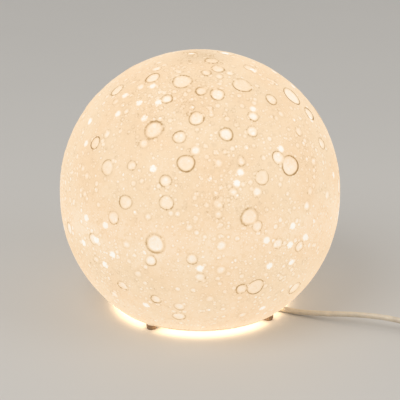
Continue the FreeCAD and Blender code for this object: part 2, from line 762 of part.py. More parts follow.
def make_switch_upper(case):
    above = Part.makeBox(120, 60, 40, V(-60, -30, SWITCH_PART_Z))
    half = case.common(above)
    window = box(ROCKER_L + 0.6, ROCKER_W + 0.6, 12, (0, 0), SWITCH_H - 4)
    half = half.cut(window)
    for side in (-1, 1):
        ear = box(6.0, 2.4, SWITCH_H - SWITCH_WALL - ROCKER_Z + 2.2,
                  (0, side * (ROCKER_W / 2 + 0.3 + 1.2)), ROCKER_Z - 2.2)
        half = half.fuse(ear)
    half_pin = ROCKER_W / 2 + 0.3 + 1.8
    half = half.cut(cylinder(ROCKER_PIN_D / 2 + 0.06, 2 * half_pin, V(0, -half_pin, ROCKER_Z), V(0, 1, 0)))
    for side in (-1, 1):
        half = half.cut(bore(1.0, 5.0, V(side * SWITCH_SCREW_X, 0, SWITCH_PART_Z)))
    return half


def make_switch_rocker():
    """Rocker drawn at its pressed end: round ends about the pin, and a shallow valley on top."""
    drum = cylinder(ROCKER_L / 2, ROCKER_W, V(0, -ROCKER_W / 2, 0), V(0, 1, 0))
    slope = math.tan(math.radians(ROCKER_TILT))
    low, valley = -ROCKER_KEEL, ROCKER_VALLEY
    end, side = ROCKER_L, -ROCKER_W
    wire = Part.makePolygon([
        V(-end, side, low),
        V(end, side, low),
        V(end, side, valley + end * slope),
        V(0, side, valley),
        V(-end, side, valley + end * slope),
        V(-end, side, low),
    ])
    body = drum.common(Part.Face(wire).extrude(V(0, 2 * ROCKER_W, 0)))
    pin = cylinder(ROCKER_PIN_D / 2, ROCKER_W + 3.2, V(0, -ROCKER_W / 2 - 1.6, 0), V(0, 1, 0))
    return tilted(body.fuse(pin))


def make_rocker_contact():
    return tilted(box(10.0, 3.6, 0.5, (0, 0), -ROCKER_KEEL - 0.5))


def tilted(shape):
    """The rocker's own shapes, turned to its pressed end and lifted to the pin."""
    return shape.rotated(FLOOR, V(0, 1, 0), ROCKER_TILT).translated(V(0, 0, ROCKER_Z))


def make_switch_contacts():
    """Two brass posts on the lower case, each bent over under one end of the rocker."""
    posts = []
    for side in (-1, 1):
        post = box(0.8, 4.0, CONTACT_TOP - SWITCH_WALL, (side * 9.5, 0), SWITCH_WALL)
        shelf = box(5.5, 4.0, 0.6, (side * 7.15, 0), CONTACT_TOP - 0.6)
        posts.append(post.fuse(shelf).removeSplitter())
    return Part.makeCompound(posts)


def make_switch_screws():
    screw = pan_screw(SWITCH_PART_Z + 2.5, shank_d=2.0, head_d=4.0, head_h=1.3)
    spots = [V(side * SWITCH_SCREW_X, 0, SWITCH_SCREW_SEAT) for side in (-1, 1)]
    return Part.makeCompound([screw.translated(spot) for spot in spots])


# --- plug ---

def plug_placed(shape):
    """Plug shapes are made with the pins along +X, then laid along +Y at the flex's end."""
    return shape.rotated(FLOOR, Z, 90).translated(PLUG_TAIL + V(0, PLUG_RELIEF_L, 0))


def make_plug_relief():
    """Ribbed tapering sleeve behind the plug."""
    root_r, tip_r = 4.6, CORD_D / 2 + 0.6
    outline = [(0, -PLUG_RELIEF_L), (tip_r, -PLUG_RELIEF_L)]
    pitch = (PLUG_RELIEF_L - 4.0) / PLUG_RIBS
    for k in range(PLUG_RIBS):
        at = -PLUG_RELIEF_L + 1.0 + pitch * k
        radius = tip_r + (root_r - tip_r) * (k + 1) / PLUG_RIBS
        outline += [(radius, at + 0.6 * pitch), (radius - 0.9, at + 0.6 * pitch)]
    outline += [(root_r - 0.9, -2.8), (root_r, -2.8), (root_r, 0), (0, 0)]
    return along(revolve(outline), FLOOR, V(1, 0, 0))


def make_plug_body():
    """Flat six-sided body: broad at the pins, drawn in towards the flex, with eased edges."""
    front, back = PLUG_W / 2, PLUG_BACK_W / 2
    corners = [(0, -back), (PLUG_L * 0.58, -front), (PLUG_L, -front),
               (PLUG_L, front), (PLUG_L * 0.58, front), (0, back)]
    wire = Part.makePolygon([V(x, y, -PLUG_T / 2) for x, y in corners + corners[:1]])
    body = Part.Face(wire).extrude(V(0, 0, PLUG_T))
    uprights = [e for e in body.Edges if e.BoundBox.ZLength > PLUG_T - 0.1]
    body = body.makeFillet(2.2, uprights)
    edges = [e for e in body.Edges if e.BoundBox.ZLength < 1e-6 and e.BoundBox.XMax < PLUG_L - 0.01]
    return body.makeChamfer(1.6, edges)


def make_pin_sleeves():
    sleeve = bar(PIN_D / 2 - 0.1, PIN_SLEEVE_L)
    roots = [V(PLUG_L, side * PIN_GAP / 2, 0) for side in (-1, 1)]
    return Part.makeCompound([along(sleeve, root, V(1, 0, 0)) for root in roots])


def make_plug_pins():
    """Bare ends of the two pins, with tapered tips."""
    straight = PIN_L - PIN_SLEEVE_L - PIN_D / 2
    stations = [(PIN_D / 2, 0), (PIN_D / 2, straight), (PIN_D / 4, straight + PIN_D / 2)]
    sections = [polygon(radius, SMALL_SIDES, V(0, 0, z)) for radius, z in stations]
    pin = Part.makeLoft(sections, True, True)
    roots = [V(PLUG_L + PIN_SLEEVE_L, side * PIN_GAP / 2, 0) for side in (-1, 1)]
    return Part.makeCompound([along(pin, root, V(1, 0, 0)) for root in roots])


def main():
    os.makedirs("parts", exist_ok=True)
    save("moon_shade", make_shade())
    save("rim_inserts", make_rim_inserts())
    save("base_cross", make_base_cross())
    for where, angle in FOOT_ANGLES.items():
        save("foot_" + where, make_foot(angle))
    save("foot_screws", make_foot_screws())

    save("holder_base", make_holder_base())
    save("holder_screws", make_holder_screws())
    save("contact_carrier", make_contact_carrier())
    save("terminals", make_terminals())
    save("terminal_screws", make_terminal_screws())
    save("thread_shell", make_thread_shell())
    save("centre_contact", make_centre_contact())
    save("holder_sleeve", make_holder_sleeve())
    save("cord_relief", make_cord_relief())
    save("live_lead", make_lead(1))
    save("neutral_lead", make_lead(-1))

    save("bulb_contact", make_bulb_contact())
    save("bulb_insulator", make_bulb_insulator())
    save("bulb_cap", make_bulb_cap())
    save("bulb_housing", make_bulb_housing())
    save("bulb_board", make_bulb_board())
    save("bulb_leds", make_bulb_leds())
    save("bulb_globe", make_bulb_globe())

    save("lamp_cord", tube(lamp_cord_route(), CORD_D, "lamp_cord"))
    save("switch_cord", tube(SWITCH_CORD_ROUTE, CORD_D, "switch_cord"))
    save("cord_coil", make_cord_coil())
    save("plug_cord", tube(PLUG_CORD_ROUTE, CORD_D, "plug_cord"))

    case = make_switch_case()
    save("switch_lower_case", switch_placed(make_switch_lower(case)))
    save("switch_upper_case", switch_placed(make_switch_upper(case)))
    save("switch_rocker", switch_placed(make_switch_rocker()))
    save("rocker_contact", switch_placed(make_rocker_contact()))
    save("switch_contacts", switch_placed(make_switch_contacts()))
    save("switch_screws", switch_placed(make_switch_screws()))

    save("plug_relief", plug_placed(make_plug_relief()))
    save("plug_body", plug_placed(make_plug_body()))
    save("pin_sleeves", plug_placed(make_pin_sleeves()))
    save("plug_pins", plug_placed(make_plug_pins()))


main()
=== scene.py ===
import json
import math

import bmesh
import bpy
import numpy as np
from bpy.props import FloatProperty, FloatVectorProperty, IntProperty, PointerProperty
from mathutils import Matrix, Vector


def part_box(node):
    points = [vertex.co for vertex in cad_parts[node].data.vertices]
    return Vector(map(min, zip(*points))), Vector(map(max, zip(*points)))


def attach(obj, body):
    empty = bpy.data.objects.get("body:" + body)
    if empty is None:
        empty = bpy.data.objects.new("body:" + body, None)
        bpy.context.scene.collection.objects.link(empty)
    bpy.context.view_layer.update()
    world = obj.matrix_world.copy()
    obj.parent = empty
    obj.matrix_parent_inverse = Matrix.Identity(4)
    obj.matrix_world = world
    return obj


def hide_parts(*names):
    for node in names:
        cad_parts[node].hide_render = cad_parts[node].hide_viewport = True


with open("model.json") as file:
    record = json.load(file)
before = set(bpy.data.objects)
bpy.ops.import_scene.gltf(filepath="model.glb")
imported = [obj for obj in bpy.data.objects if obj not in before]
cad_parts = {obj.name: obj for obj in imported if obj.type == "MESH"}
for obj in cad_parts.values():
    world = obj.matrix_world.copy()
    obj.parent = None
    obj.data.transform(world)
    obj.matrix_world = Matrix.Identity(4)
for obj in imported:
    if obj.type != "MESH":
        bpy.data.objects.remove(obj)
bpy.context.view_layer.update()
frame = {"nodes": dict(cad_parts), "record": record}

bl_info = {
    "name": "Moon Lamp",
    "version": (1, 0, 0),
    "blender": (4, 5, 0),
    "location": "3D View > Sidebar > Moon Lamp",
    "description": "Dresses the parts of a glowing ball lamp with craters, its flex, switch and plug",
    "category": "Object",
}

MM = 0.001

# ---------------------------------------------------------------- places read from the frame
SHADE_LOW, SHADE_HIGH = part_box("moon_shade")
RIM_Z = SHADE_LOW.z
TOP_Z = SHADE_HIGH.z
FOOT_NAMES = ("front_right", "rear_right", "rear_left", "front_left")

# ---------------------------------------------------------------- craters
# Longitude and latitude in degrees, diameter in millimetres. Longitude runs from +X towards +Y,
# and latitude is counted from the shade's middle band.
LARGE_CRATERS = [
    (-27, 49, 18), (-59, 25, 16.5), (-63, 62, 16), (-117, 66, 16), (-117, 0, 15.5),
    (-77, -19, 15), (-124, 42, 15), (-81, 9, 14), (-106, 30, 13.5), (-53, -27, 13),
    (-142, 24, 12.5), (-87, 59, 12), (-102, 48, 12), (-74, 23, 12), (-130, 13, 11.5),
    (-113, 15, 11.5), (-87, 41, 11), (-149, 65, 12), (-155, 31, 10.5), (-110, -35, 11),
    (-22, 6, 14), (-5, 33, 13), (4, -14, 15), (17, 12, 17), (24, 52, 14),
    (33, -30, 12), (41, 27, 12), (52, -6, 15), (63, 44, 16), (70, 15, 12),
    (78, -22, 14), (90, 63, 13), (95, 7, 17), (104, 34, 12), (118, -11, 13),
    (123, 20, 15), (129, 52, 14), (143, -29, 12), (148, 5, 12), (158, 38, 16),
    (172, 14, 13), (176, -17, 15), (-170, 53, 12), (-165, -5, 11), (20, 78, 14),
]
# The smaller ones on the side towards the camera.
SMALL_CRATERS = [
    (-25, 39, 12), (-69, 81, 11), (-64, 29, 11), (-74, 74, 10.5), (-135, 6, 10.5),
    (-49, 52, 10.5), (-110, 40, 10.5), (-30, 69, 10), (-31, 27, 10), (-146, -3, 9.5),
    (-83, -19, 9.5), (-119, -6, 9.5), (-73, 41, 9.5), (-114, 23, 9.5), (-134, -21, 9),
    (-109, -28, 9), (-119, -25, 9), (-58, -5, 9), (-99, 61, 9), (-123, 56, 9),
    (-69, -1, 9), (-69, 47, 9), (-103, -4, 9), (-78, 5, 9), (-92, 0, 8.5),
    (-102, 35, 8.5), (-100, -12, 8.5), (-77, 18, 8.5), (-93, 15, 8.5), (-142, -29, 8.5),
    (-161, 70, 8), (-79, -36, 8), (-39, 8, 8), (-151, 59, 8), (-92, 72, 8),
    (-45, 36, 8), (-54, 8, 8), (-92, -9, 8), (-130, 27, 8), (-127, 36, 8),
    (-92, 30, 7.5), (-96, -23, 7.5), (-150, 36, 7.5), (-146, -12, 7), (-160, 49, 7),
    (-64, 70, 7), (-93, 11, 7), (-44, 23, 7), (-79, 69, 7), (-51, 13, 7),
    (-125, -13, 7), (-129, -1, 7), (-82, 30, 7), (-87, 19, 7), (-153, 18, 6.5),
    (-120, 9, 6), (-104, 6, 6), (-157, 20, 6), (-152, 11, 6), (-50, 45, 6),
    (-146, 47, 6), (-55, 44, 5),
]
# Craters whose edge is dark, and the darkest of them. The other large ones are fainter, and the
# other small ones have hardly an edge.
SHARP_CRATERS = {
    (-124, 42), (-130, 13), (-113, 15), (-102, 48), (-87, 41), (-53, -27), (-117, 66), (-83, -19),
    (-59, 25), (-149, 65), (-87, 59), (-63, 62), (-74, 23), (-123, 56), (-110, 40), (-99, 61),
    (-49, 52), (-117, 0), (-64, 29), (-45, 36), (-130, 27), (-92, 72), (-78, 5), (-134, -21), (-79, 69),
}
DARKEST_CRATERS = {(-106, 30), (-27, 49), (-25, 39), (-77, -19), (-155, 31), (-59, 25)}
# Craters with a wide, soft edge, and those whose floor shines brightest.
SOFT_CRATERS = {(-117, 0), (-81, 9), (-124, 42)}
BRIGHT_CRATERS = {
    (-87, 59), (-102, 48), (-87, 41), (-64, 29), (-73, 41), (-123, 56), (-102, 35), (-151, 59),
    (-77, 18), (-54, 8), (-149, 65), (-161, 70), (-69, 47), (-27, 49),
}
# Patches where small bubbles crowd: longitude, latitude, and reach in millimetres.
BUBBLY_PATCHES = [
    (-110, 54, 17), (-143, -17, 24), (-65, -8, 24), (-133, 54, 24), (-92, 17, 20), (-48, 30, 18),
    (20, 20, 26), (75, 50, 24), (110, -10, 26), (150, 25, 24), (-170, 10, 22), (60, -15, 24),
]
# Thin spots that shine through white.
BRIGHT_SPOTS = [
    (-141, 61), (-141, 52), (-157, 53), (-128, 54), (-151, 45), (-132, 46), (-162, 29), (-120, 27),
    (-83, 26), (-85, 22), (-150, 2), (-139, 2), (-144, -3), (-153, -7), (-136, -7), (-141, -13),
    (-67, 50), (-74, 0), (-62, 2), (-55, -2), (-63, -3), (-61, -11), (-72, -10), (-100, -8),
    (-125, -30), (-69, -34), (-29, 13), (-61, 32),
]

# ---------------------------------------------------------------- routes of the flex, in metres
CORD_ANGLE = -31.5  # the way the flex leaves the lamp, in degrees from +X
ENTRY_ANGLE = -26.0  # the way it leaves the lampholder
ENTRY_DIP = 15.0  # how far it points down there, in degrees
HOLDER_R = 22 * MM
ENTRY_Z = 12 * MM  # its height at the lampholder's wall
CORD_R = 2.5 * MM
PLUG_AXIS_X = 0.309
PLUG_AXIS_Z = 0.00685


def polar(radius, degrees, height):
    """The point at this distance and bearing from the lamp's axis."""
    a = math.radians(degrees)
    return (radius * math.cos(a), radius * math.sin(a), height)


def entry_point(radius):
    """The flex's line near the lampholder: straight out and slightly down."""
    return polar(radius, ENTRY_ANGLE, ENTRY_Z - (radius - HOLDER_R) * math.tan(math.radians(ENTRY_DIP)))


LAMP_CORD_ROUTE = [
    entry_point(38.5 * MM),
    entry_point(56 * MM),
    polar(90 * MM, CORD_ANGLE, 2.6 * MM),
    polar(120 * MM, CORD_ANGLE, 5.8 * MM),
    polar(152 * MM, CORD_ANGLE, 10.8 * MM),
    polar(184 * MM, CORD_ANGLE, 12.0 * MM),
    polar(207 * MM, CORD_ANGLE, 8.0 * MM),
    polar(228 * MM, CORD_ANGLE, 8.0 * MM),
]
SWITCH_CORD_ROUTE = [
    polar(296 * MM, CORD_ANGLE, 8.0 * MM),
    polar(320 * MM, CORD_ANGLE, 8.0 * MM),
    (0.300, -0.176, 0.0048),
    (0.324, -0.166, 0.0027),
    (0.336, -0.142, 0.0026),
    (0.334, -0.111, 0.0027),
    (0.319, -0.087, 0.0025),
    (0.309, -0.066, 0.0025),
]
PLUG_CORD_ROUTE = [
    (0.309, -0.015, 0.0083),
    (0.303, 0.010, 0.0046),
    (0.304, 0.036, 0.0038),
    (PLUG_AXIS_X, 0.060, PLUG_AXIS_Z),
    (PLUG_AXIS_X, 0.078, PLUG_AXIS_Z),
]
COIL_CENTRE = (0.270, -0.040)
COIL_R = 0.039  # outermost loop
COIL_STEP = 0.0058  # from one loop to the next, sideways and upwards
COIL_TURNS = 6
COIL_CLIMB = 0.5  # in turns
POINTS_PER_TURN = 16


def coil_points():
    """Loops that spiral in below, climb in half a turn and spiral out above.

    The radius falls and grows evenly with the turn, and the height follows a smooth step.
    """
    turn = np.arange(0, COIL_TURNS * POINTS_PER_TURN + 1) / POINTS_PER_TURN
    half = COIL_TURNS / 2
    radius = COIL_R - COIL_STEP * (half - np.abs(turn - half))
    climb = np.clip((turn - half) / COIL_CLIMB + 0.5, 0, 1)
    height = CORD_R + COIL_STEP * climb ** 2 * (3 - 2 * climb)
    angle = 2 * np.pi * turn
    x = COIL_CENTRE[0] + radius * np.cos(angle)
    y = COIL_CENTRE[1] + radius * np.sin(angle)
    return np.stack([x, y, height], 1).tolist()


# ---------------------------------------------------------------- settings
class ShadeSettings(bpy.types.PropertyGroup):
    diameter: FloatProperty(name="Diameter", description="Across the ball", default=0.250, unit="LENGTH")
    band: FloatProperty(name="Band", description="Straight band at the middle", default=0.0056, unit="LENGTH")
    wall: FloatProperty(name="Wall", description="Thickness of the shade", default=0.003, unit="LENGTH")
    mouth: FloatProperty(name="Mouth", description="Opening below", default=0.124, unit="LENGTH")
    flange: FloatProperty(name="Rim", description="Height of the rim", default=0.005, unit="LENGTH")
    lip: FloatProperty(
        name="Lip", description="Height of a large crater's edge", default=0.00045, unit="LENGTH")
    columns: IntProperty(name="Columns", description="Grid columns round the shade", default=464)
    rows: IntProperty(name="Rows", description="Grid rows from the top to the rim", default=180)
    glow: FloatProperty(name="Glow", description="Strength of the light from inside", default=1.0)
    spill: FloatProperty(name="Spill", description="How much brighter the rim is underneath", default=5.0)
    cream: FloatVectorProperty(
        name="Cream", description="Colour of the lit shade", default=(0.955, 0.735, 0.50), subtype="COLOR")
    brown: FloatVectorProperty(
        name="Brown", description="Colour of the crater edges", default=(0.46, 0.28, 0.12), subtype="COLOR")


class CordSettings(bpy.types.PropertyGroup):
    diameter: FloatProperty(name="Diameter", description="Across the flex", default=2 * CORD_R, unit="LENGTH")
    colour: FloatVectorProperty(
        name="Colour", description="Colour of the flex", default=(0.66, 0.58, 0.46), subtype="COLOR")


class FittingSettings(bpy.types.PropertyGroup):
    white: FloatVectorProperty(
        name="White", description="Moulded switch and plug", default=(0.78, 0.76, 0.70), subtype="COLOR")
    rubber: FloatVectorProperty(
        name="Rubber", description="Feet", default=(0.25, 0.165, 0.10), subtype="COLOR")
    steel: FloatVectorProperty(
        name="Base", description="Coated steel cross", default=(0.74, 0.72, 0.68), subtype="COLOR")


class StageSettings(bpy.types.PropertyGroup):
    azimuth: FloatProperty(name="Azimuth", description="Camera bearing in degrees", default=-10.0)
    elevation: FloatProperty(name="Elevation", description="Camera height in degrees", default=20.5)
    distance: FloatProperty(name="Distance", description="Camera to the ball", default=1.25, unit="LENGTH")
    lens: FloatProperty(name="Lens", description="Focal length in mm", default=125.4)
    drop: FloatProperty(name="Drop", description="How far the aim lies below the ball's middle",
                        default=0.0068, unit="LENGTH")
    floor: FloatVectorProperty(
        name="Floor", description="Floor colour", default=(0.60, 0.585, 0.56), subtype="COLOR")
    world: FloatProperty(name="World", description="Strength of the even light", default=0.62)


class MoonLampSettings(bpy.types.PropertyGroup):
    shade: PointerProperty(type=ShadeSettings)
    cord: PointerProperty(type=CordSettings)
    fittings: PointerProperty(type=FittingSettings)
    stage: PointerProperty(type=StageSettings)


# ---------------------------------------------------------------- shader helpers
def new_material(name):
    """A material with an empty Principled shader, and its node tree."""
    material = bpy.data.materials.new(name)
    material.use_nodes = True
    tree = material.node_tree
    return material, tree, tree.nodes["Principled BSDF"]


def feed(tree, socket, value):
    """Links the value if it is a socket, and sets it otherwise."""
    if isinstance(value, bpy.types.NodeSocket):
        tree.links.new(value, socket)
    elif hasattr(value, "__len__") and len(value) == 3 and socket.type == "RGBA":
        socket.default_value = (*value, 1.0)
    else:
        socket.default_value = value


def object_coordinates(tree):
    """The place on the piece, in metres."""
    return tree.nodes.new("ShaderNodeTexCoord").outputs["Object"]


def attribute(tree, name):
    """The value that the mesh carries under this name."""
    node = tree.nodes.new("ShaderNodeAttribute")
    node.attribute_name = name
    return node.outputs["Fac"]


def noise(tree, vector, scale, detail=2.0, roughness=0.5):
    """Clouds from 0 to 1, with this many to the metre."""
    node = tree.nodes.new("ShaderNodeTexNoise")
    feed(tree, node.inputs["Vector"], vector)
    node.inputs["Scale"].default_value = scale
    node.inputs["Detail"].default_value = detail
    node.inputs["Roughness"].default_value = roughness
    return node.outputs["Fac"]


def cells(tree, vector, scale):
    """Distance to the nearest of many scattered points, and a random value for each point."""
    node = tree.nodes.new("ShaderNodeTexVoronoi")
    feed(tree, node.inputs["Vector"], vector)
    node.inputs["Scale"].default_value = scale
    split = tree.nodes.new("ShaderNodeSeparateColor")
    tree.links.new(node.outputs["Color"], split.inputs["Color"])
    return node.outputs["Distance"], split.outputs["Red"]


def calc(tree, operation, a, b=0.0, c=0.0):
    """One step of arithmetic on two or three values."""
    node = tree.nodes.new("ShaderNodeMath")
    node.operation = operation
    for socket, value in zip(node.inputs, (a, b, c)):
        feed(tree, socket, value)
    return node.outputs[0]


def total(tree, *values):
    """All the values added up."""
    result = values[0]
    for value in values[1:]:
        result = calc(tree, "ADD", result, value)
    return result


def product(tree, *values):
    """All the values multiplied."""
    result = values[0]
    for value in values[1:]:
        result = calc(tree, "MULTIPLY", result, value)
    return result


def off_by(tree, value, middle):
    """How far the value lies from the middle, either way."""
    return calc(tree, "ABSOLUTE", calc(tree, "SUBTRACT", value, middle))


def ease(tree, value, low, high, first=0.0, last=1.0):
    """A smooth step: first below low, last above high."""
    node = tree.nodes.new("ShaderNodeMapRange")
    node.interpolation_type = "SMOOTHSTEP"
    feed(tree, node.inputs["Value"], value)
    feed(tree, node.inputs["From Min"], low)
    feed(tree, node.inputs["From Max"], high)
    node.inputs["To Min"].default_value = first
    node.inputs["To Max"].default_value = last
    return node.outputs["Result"]


def ramp(tree, factor, stops):
    """A colour for each stop (place, colour), blended between them."""
    node = tree.nodes.new("ShaderNodeValToRGB")
    feed(tree, node.inputs["Fac"], factor)
    elements = node.color_ramp.elements
    while len(elements) < len(stops):
        elements.new(0.5)
    for element, (place, colour) in zip(elements, stops):
        element.position = place
        element.color = (*colour, 1.0)
    return node.outputs["Color"]


def mixed(tree, factor, a, b, blend="MIX"):
    """Colour a blended into colour b by the factor."""
    node = tree.nodes.new("ShaderNodeMix")
    node.data_type = "RGBA"
    node.blend_type = blend
    feed(tree, node.inputs["Factor"], factor)
    colour_sockets = [s for s in node.inputs if s.type == "RGBA"]
    feed(tree, colour_sockets[0], a)
    feed(tree, colour_sockets[1], b)
    return next(s for s in node.outputs if s.type == "RGBA")


def bump(tree, height, distance, strength=1.0):
    """The direction of a skin raised by the height, which reaches the distance in metres."""
    node = tree.nodes.new("ShaderNodeBump")
    feed(tree, node.inputs["Height"], height)
    node.inputs["Distance"].default_value = distance
    node.inputs["Strength"].default_value = strength
    return node.outputs["Normal"]


def height_of(tree, vector):
    """The Z part of a place."""
    node = tree.nodes.new("ShaderNodeSeparateXYZ")
    tree.links.new(vector, node.inputs[0])
    return node.outputs["Z"]


def far_from(tree, vector, point):
    """The distance from a point."""
    node = tree.nodes.new("ShaderNodeVectorMath")
    node.operation = "DISTANCE"
    tree.links.new(vector, node.inputs[0])
    node.inputs[1].default_value = point
    return node.outputs["Value"]


def toned(colour, factor):
    """The colour made darker by a factor under one, or lighter by one over it."""
    return tuple(channel * factor for channel in colour)


# ---------------------------------------------------------------- finishes
# Small bubbles: cells to the metre, reach in cells, lift of the disc, and share of the cells that
# hold one.
BUBBLE_SIZES = ((150, 0.36, 0.20, 0.45), (250, 0.38, 0.18, 0.42), (430, 0.42, 0.13, 0.46))
CROWDING = 0.5  # added to the share where bubbles crowd
BUBBLES_IN_CRATER = 0.35  # how much of them a crater's floor keeps

# A crater in the glow: distances from its edge in metres, and changes of brightness.
LINE_WIDTH = 0.00085
SOFT_LINE_EXTRA = 0.0017  # added to the width of a soft edge
LINE_PLACE = 0.00015
LINE_DARKNESS = -0.62
FLOOR_FADE = 0.0026
FLOOR_LIFT = 0.21
HALO_WIDTH = 0.0030
HALO_DARKNESS = -0.045

# How bright the wall glows: heights and reaches in metres, and changes of brightness. The middle band,
# where the bulb inside lies nearest, gets painted light and the crown painted shade; the pole gets a
# patch of painted shade, and a thin darker line runs just over the rim.
# Painted light: the band at mid-height, where the bulb inside lies nearest, glows brighter.
PAINTED_BULB_LIGHT_Z = 0.104
PAINTED_BULB_LIGHT = 0.085
FOOT_LIFT = 0.035
# Painted shade: the crown is painted duller.
CROWN_PAINTED_SHADE = -0.02
# Painted shade: a duller patch round the pole.
POLE_REACH = 0.036
POLE_PAINTED_SHADE = -0.19
DARK_LINE_Z = RIM_Z + 0.0018
DARK_LINE_DULLNESS = -0.26
SPOT_AREA = 17.0  # squared distance over which a bright spot fades, in square millimetres
SPOT_LIFT = 0.48
SPOT_NONE = 100.0  # squared distance given to the points that no spot reaches


def bubbles(tree, place, scale, reach, lift, share, crowd):
    """Small bubbles: pale discs with a darker edge where the skin cuts scattered balls.

    There is a ball in each cell of the grid whose random value lies under the share, which grows
    where the bubbles crowd.
    """
    distance, luck = cells(tree, place, scale)
    limit = calc(tree, "MULTIPLY_ADD", crowd, CROWDING, share)
    there = ease(tree, calc(tree, "SUBTRACT", limit, luck), -0.02, 0.10)
    disc = ease(tree, distance, reach * 0.45, reach, lift, 0.0)
    rim = ease(tree, off_by(tree, distance, reach * 1.12), 0.0, reach * 0.34, -0.6 * lift, 0.0)
    return product(tree, total(tree, disc, rim), there)


def crater_glow(tree, place):
    """What craters add to the brightness: a pale floor, a thin dark edge and a faint shade round it.

    The distance to the edge is below zero inside. The tone darkens the edge, and noise makes it
    uneven.
    """
    edge = attribute(tree, "crater_edge")
    inner = ease(tree, edge, -0.0001, 0.0001, 1.0, 0.0)
    floor = ease(tree, edge, -FLOOR_FADE, 0.0002, FLOOR_LIFT, 0.0)
    floor = product(tree, floor, inner, attribute(tree, "crater_floor"))
    width = calc(tree, "MULTIPLY_ADD", attribute(tree, "crater_soft"), SOFT_LINE_EXTRA, LINE_WIDTH)
    line = ease(tree, off_by(tree, edge, LINE_PLACE), 0.0001, width, LINE_DARKNESS, 0.0)
    uneven = ease(tree, noise(tree, place, 110, 1), 0.35, 0.65, 0.5, 1.0)
    line = product(tree, line, attribute(tree, "crater_tone"), uneven)
    halo = ease(tree, edge, 0.0, HALO_WIDTH, HALO_DARKNESS, 0.0)
    halo = product(tree, halo, calc(tree, "SUBTRACT", 1.0, inner))
    return total(tree, floor, line, halo)


def resin_clouds(tree, place, fine):
    """The resin's own uneven brightness: fine grain, spots and broad clouds, added up."""
    level = calc(tree, "MULTIPLY_ADD", fine, 0.24, 0.33)
    level = calc(tree, "MULTIPLY_ADD", noise(tree, place, 45, 2), 0.16, level)
    return calc(tree, "MULTIPLY_ADD", noise(tree, place, 185, 2), 0.16, level)


def wall_glow(tree, place):
    """What the wall adds: painted bulb light on the middle band, a brighter foot, painted shade on the crown
    and the pole, and the dark line.
    """
    height = height_of(tree, place)
    return total(
        tree,
        # painted bulb light on the middle band
        ease(tree, off_by(tree, height, PAINTED_BULB_LIGHT_Z), 0.004, 0.034, PAINTED_BULB_LIGHT, 0.0),
        ease(tree, height, 0.012, 0.070, FOOT_LIFT, 0.0),
        # painted shade on the crown
        ease(tree, height, 0.15, 0.235, 0.0, CROWN_PAINTED_SHADE),
        # painted shade round the pole
        ease(tree, far_from(tree, place, (0, 0, TOP_Z)), 0.002, POLE_REACH, POLE_PAINTED_SHADE, 0.0),
        ease(tree, off_by(tree, height, DARK_LINE_Z), 0.0004, 0.0026, DARK_LINE_DULLNESS, 0.0),
    )


def lit_resin(settings):
    """The shade's glow: one brightness level, made of the parts above, coloured by a ramp.

    Craters follow the distance to the edge that the mesh carries. Small bubbles are the cut of
    scattered balls by the skin. Thin spots shine white. The rim's underside, lit from close by,
    is the brightest.
    """
    material, tree, shader = new_material("lit_resin")
    place = object_coordinates(tree)
    fine = noise(tree, place, 430, 3, 0.62)
    level = total(tree, resin_clouds(tree, place, fine), wall_glow(tree, place))

    crowd = attribute(tree, "bubbly")
    outside = ease(tree, attribute(tree, "crater_edge"), -0.0010, 0.0, BUBBLES_IN_CRATER, 1.0)
    for scale, reach, lift, share in BUBBLE_SIZES:
        found = bubbles(tree, place, scale, reach, lift, share, crowd)
        level = total(tree, level, product(tree, found, outside))
    shine = ease(tree, attribute(tree, "bright_spot"), 0.0, SPOT_AREA, SPOT_LIFT, 0.0)
    level = total(tree, level, crater_glow(tree, place), shine)

    cream, brown = tuple(settings.cream), tuple(settings.brown)
    glow = ramp(tree, level, [
        (0.0, brown),
        (0.26, (0.69, 0.47, 0.25)),
        (0.46, toned(cream, 0.93)),
        (0.60, cream),
        (0.78, (1.0, 0.83, 0.64)),
        (1.0, (1.0, 0.97, 0.90)),
    ])
    peach = ease(tree, noise(tree, place, 28, 1), 0.35, 0.65)
    glow = mixed(tree, peach, glow, mixed(tree, 1.0, glow, (1.0, 0.965, 0.93), "MULTIPLY"))
    lit = mixed(tree, 1.0, glow, (0.86, 0.86, 0.86), "MULTIPLY")
    under = mixed(tree, attribute(tree, "under_rim"), (1.0, 1.0, 1.0), (settings.spill,) * 3)
    feed(tree, shader.inputs["Emission Color"], mixed(tree, 1.0, lit, under, "MULTIPLY"))
    shader.inputs["Emission Strength"].default_value = settings.glow
    feed(tree, shader.inputs["Base Color"], mixed(tree, 1.0, glow, (0.14, 0.14, 0.14), "MULTIPLY"))
    feed(tree, shader.inputs["Roughness"], ease(tree, fine, 0.3, 0.7, 0.42, 0.58))
    feed(tree, shader.inputs["Normal"], bump(tree, level, 0.0006, 0.6))
    shader.inputs["Specular IOR Level"].default_value = 0.25
    return material


def moulded(name, colour, roughness, grain=900, depth=0.00004, coat=0.0):
    """Moulded plastic: its colour clouds a little, and its skin has a fine sparked grain."""
    material, tree, shader = new_material(name)
    place = object_coordinates(tree)
    cloud = noise(tree, place, 60, 3)
    skin = noise(tree, place, grain, 2, 0.6)
    colours = ramp(tree, cloud, [(0.3, toned(colour, 0.94)), (0.7, colour)])
    feed(tree, shader.inputs["Base Color"], colours)
    feed(tree, shader.inputs["Roughness"], ease(tree, skin, 0.3, 0.7, roughness - 0.06, roughness + 0.08))
    feed(tree, shader.inputs["Normal"], bump(tree, skin, depth))
    shader.inputs["Coat Weight"].default_value = coat
    return material


def rubber(name, colour):
    """Soft rubber: matt, with dust in its grain."""
    material, tree, shader = new_material(name)
    place = object_coordinates(tree)
    grain = noise(tree, place, 700, 4, 0.65)
    dust = ease(tree, noise(tree, place, 160, 3), 0.5, 0.75)
    feed(tree, shader.inputs["Base Color"], mixed(tree, dust, colour, toned(colour, 1.5)))
    feed(tree, shader.inputs["Roughness"], ease(tree, grain, 0.3, 0.7, 0.68, 0.86))
    feed(tree, shader.inputs["Normal"], bump(tree, grain, 0.00008))
    shader.inputs["Specular IOR Level"].default_value = 0.3
    return material


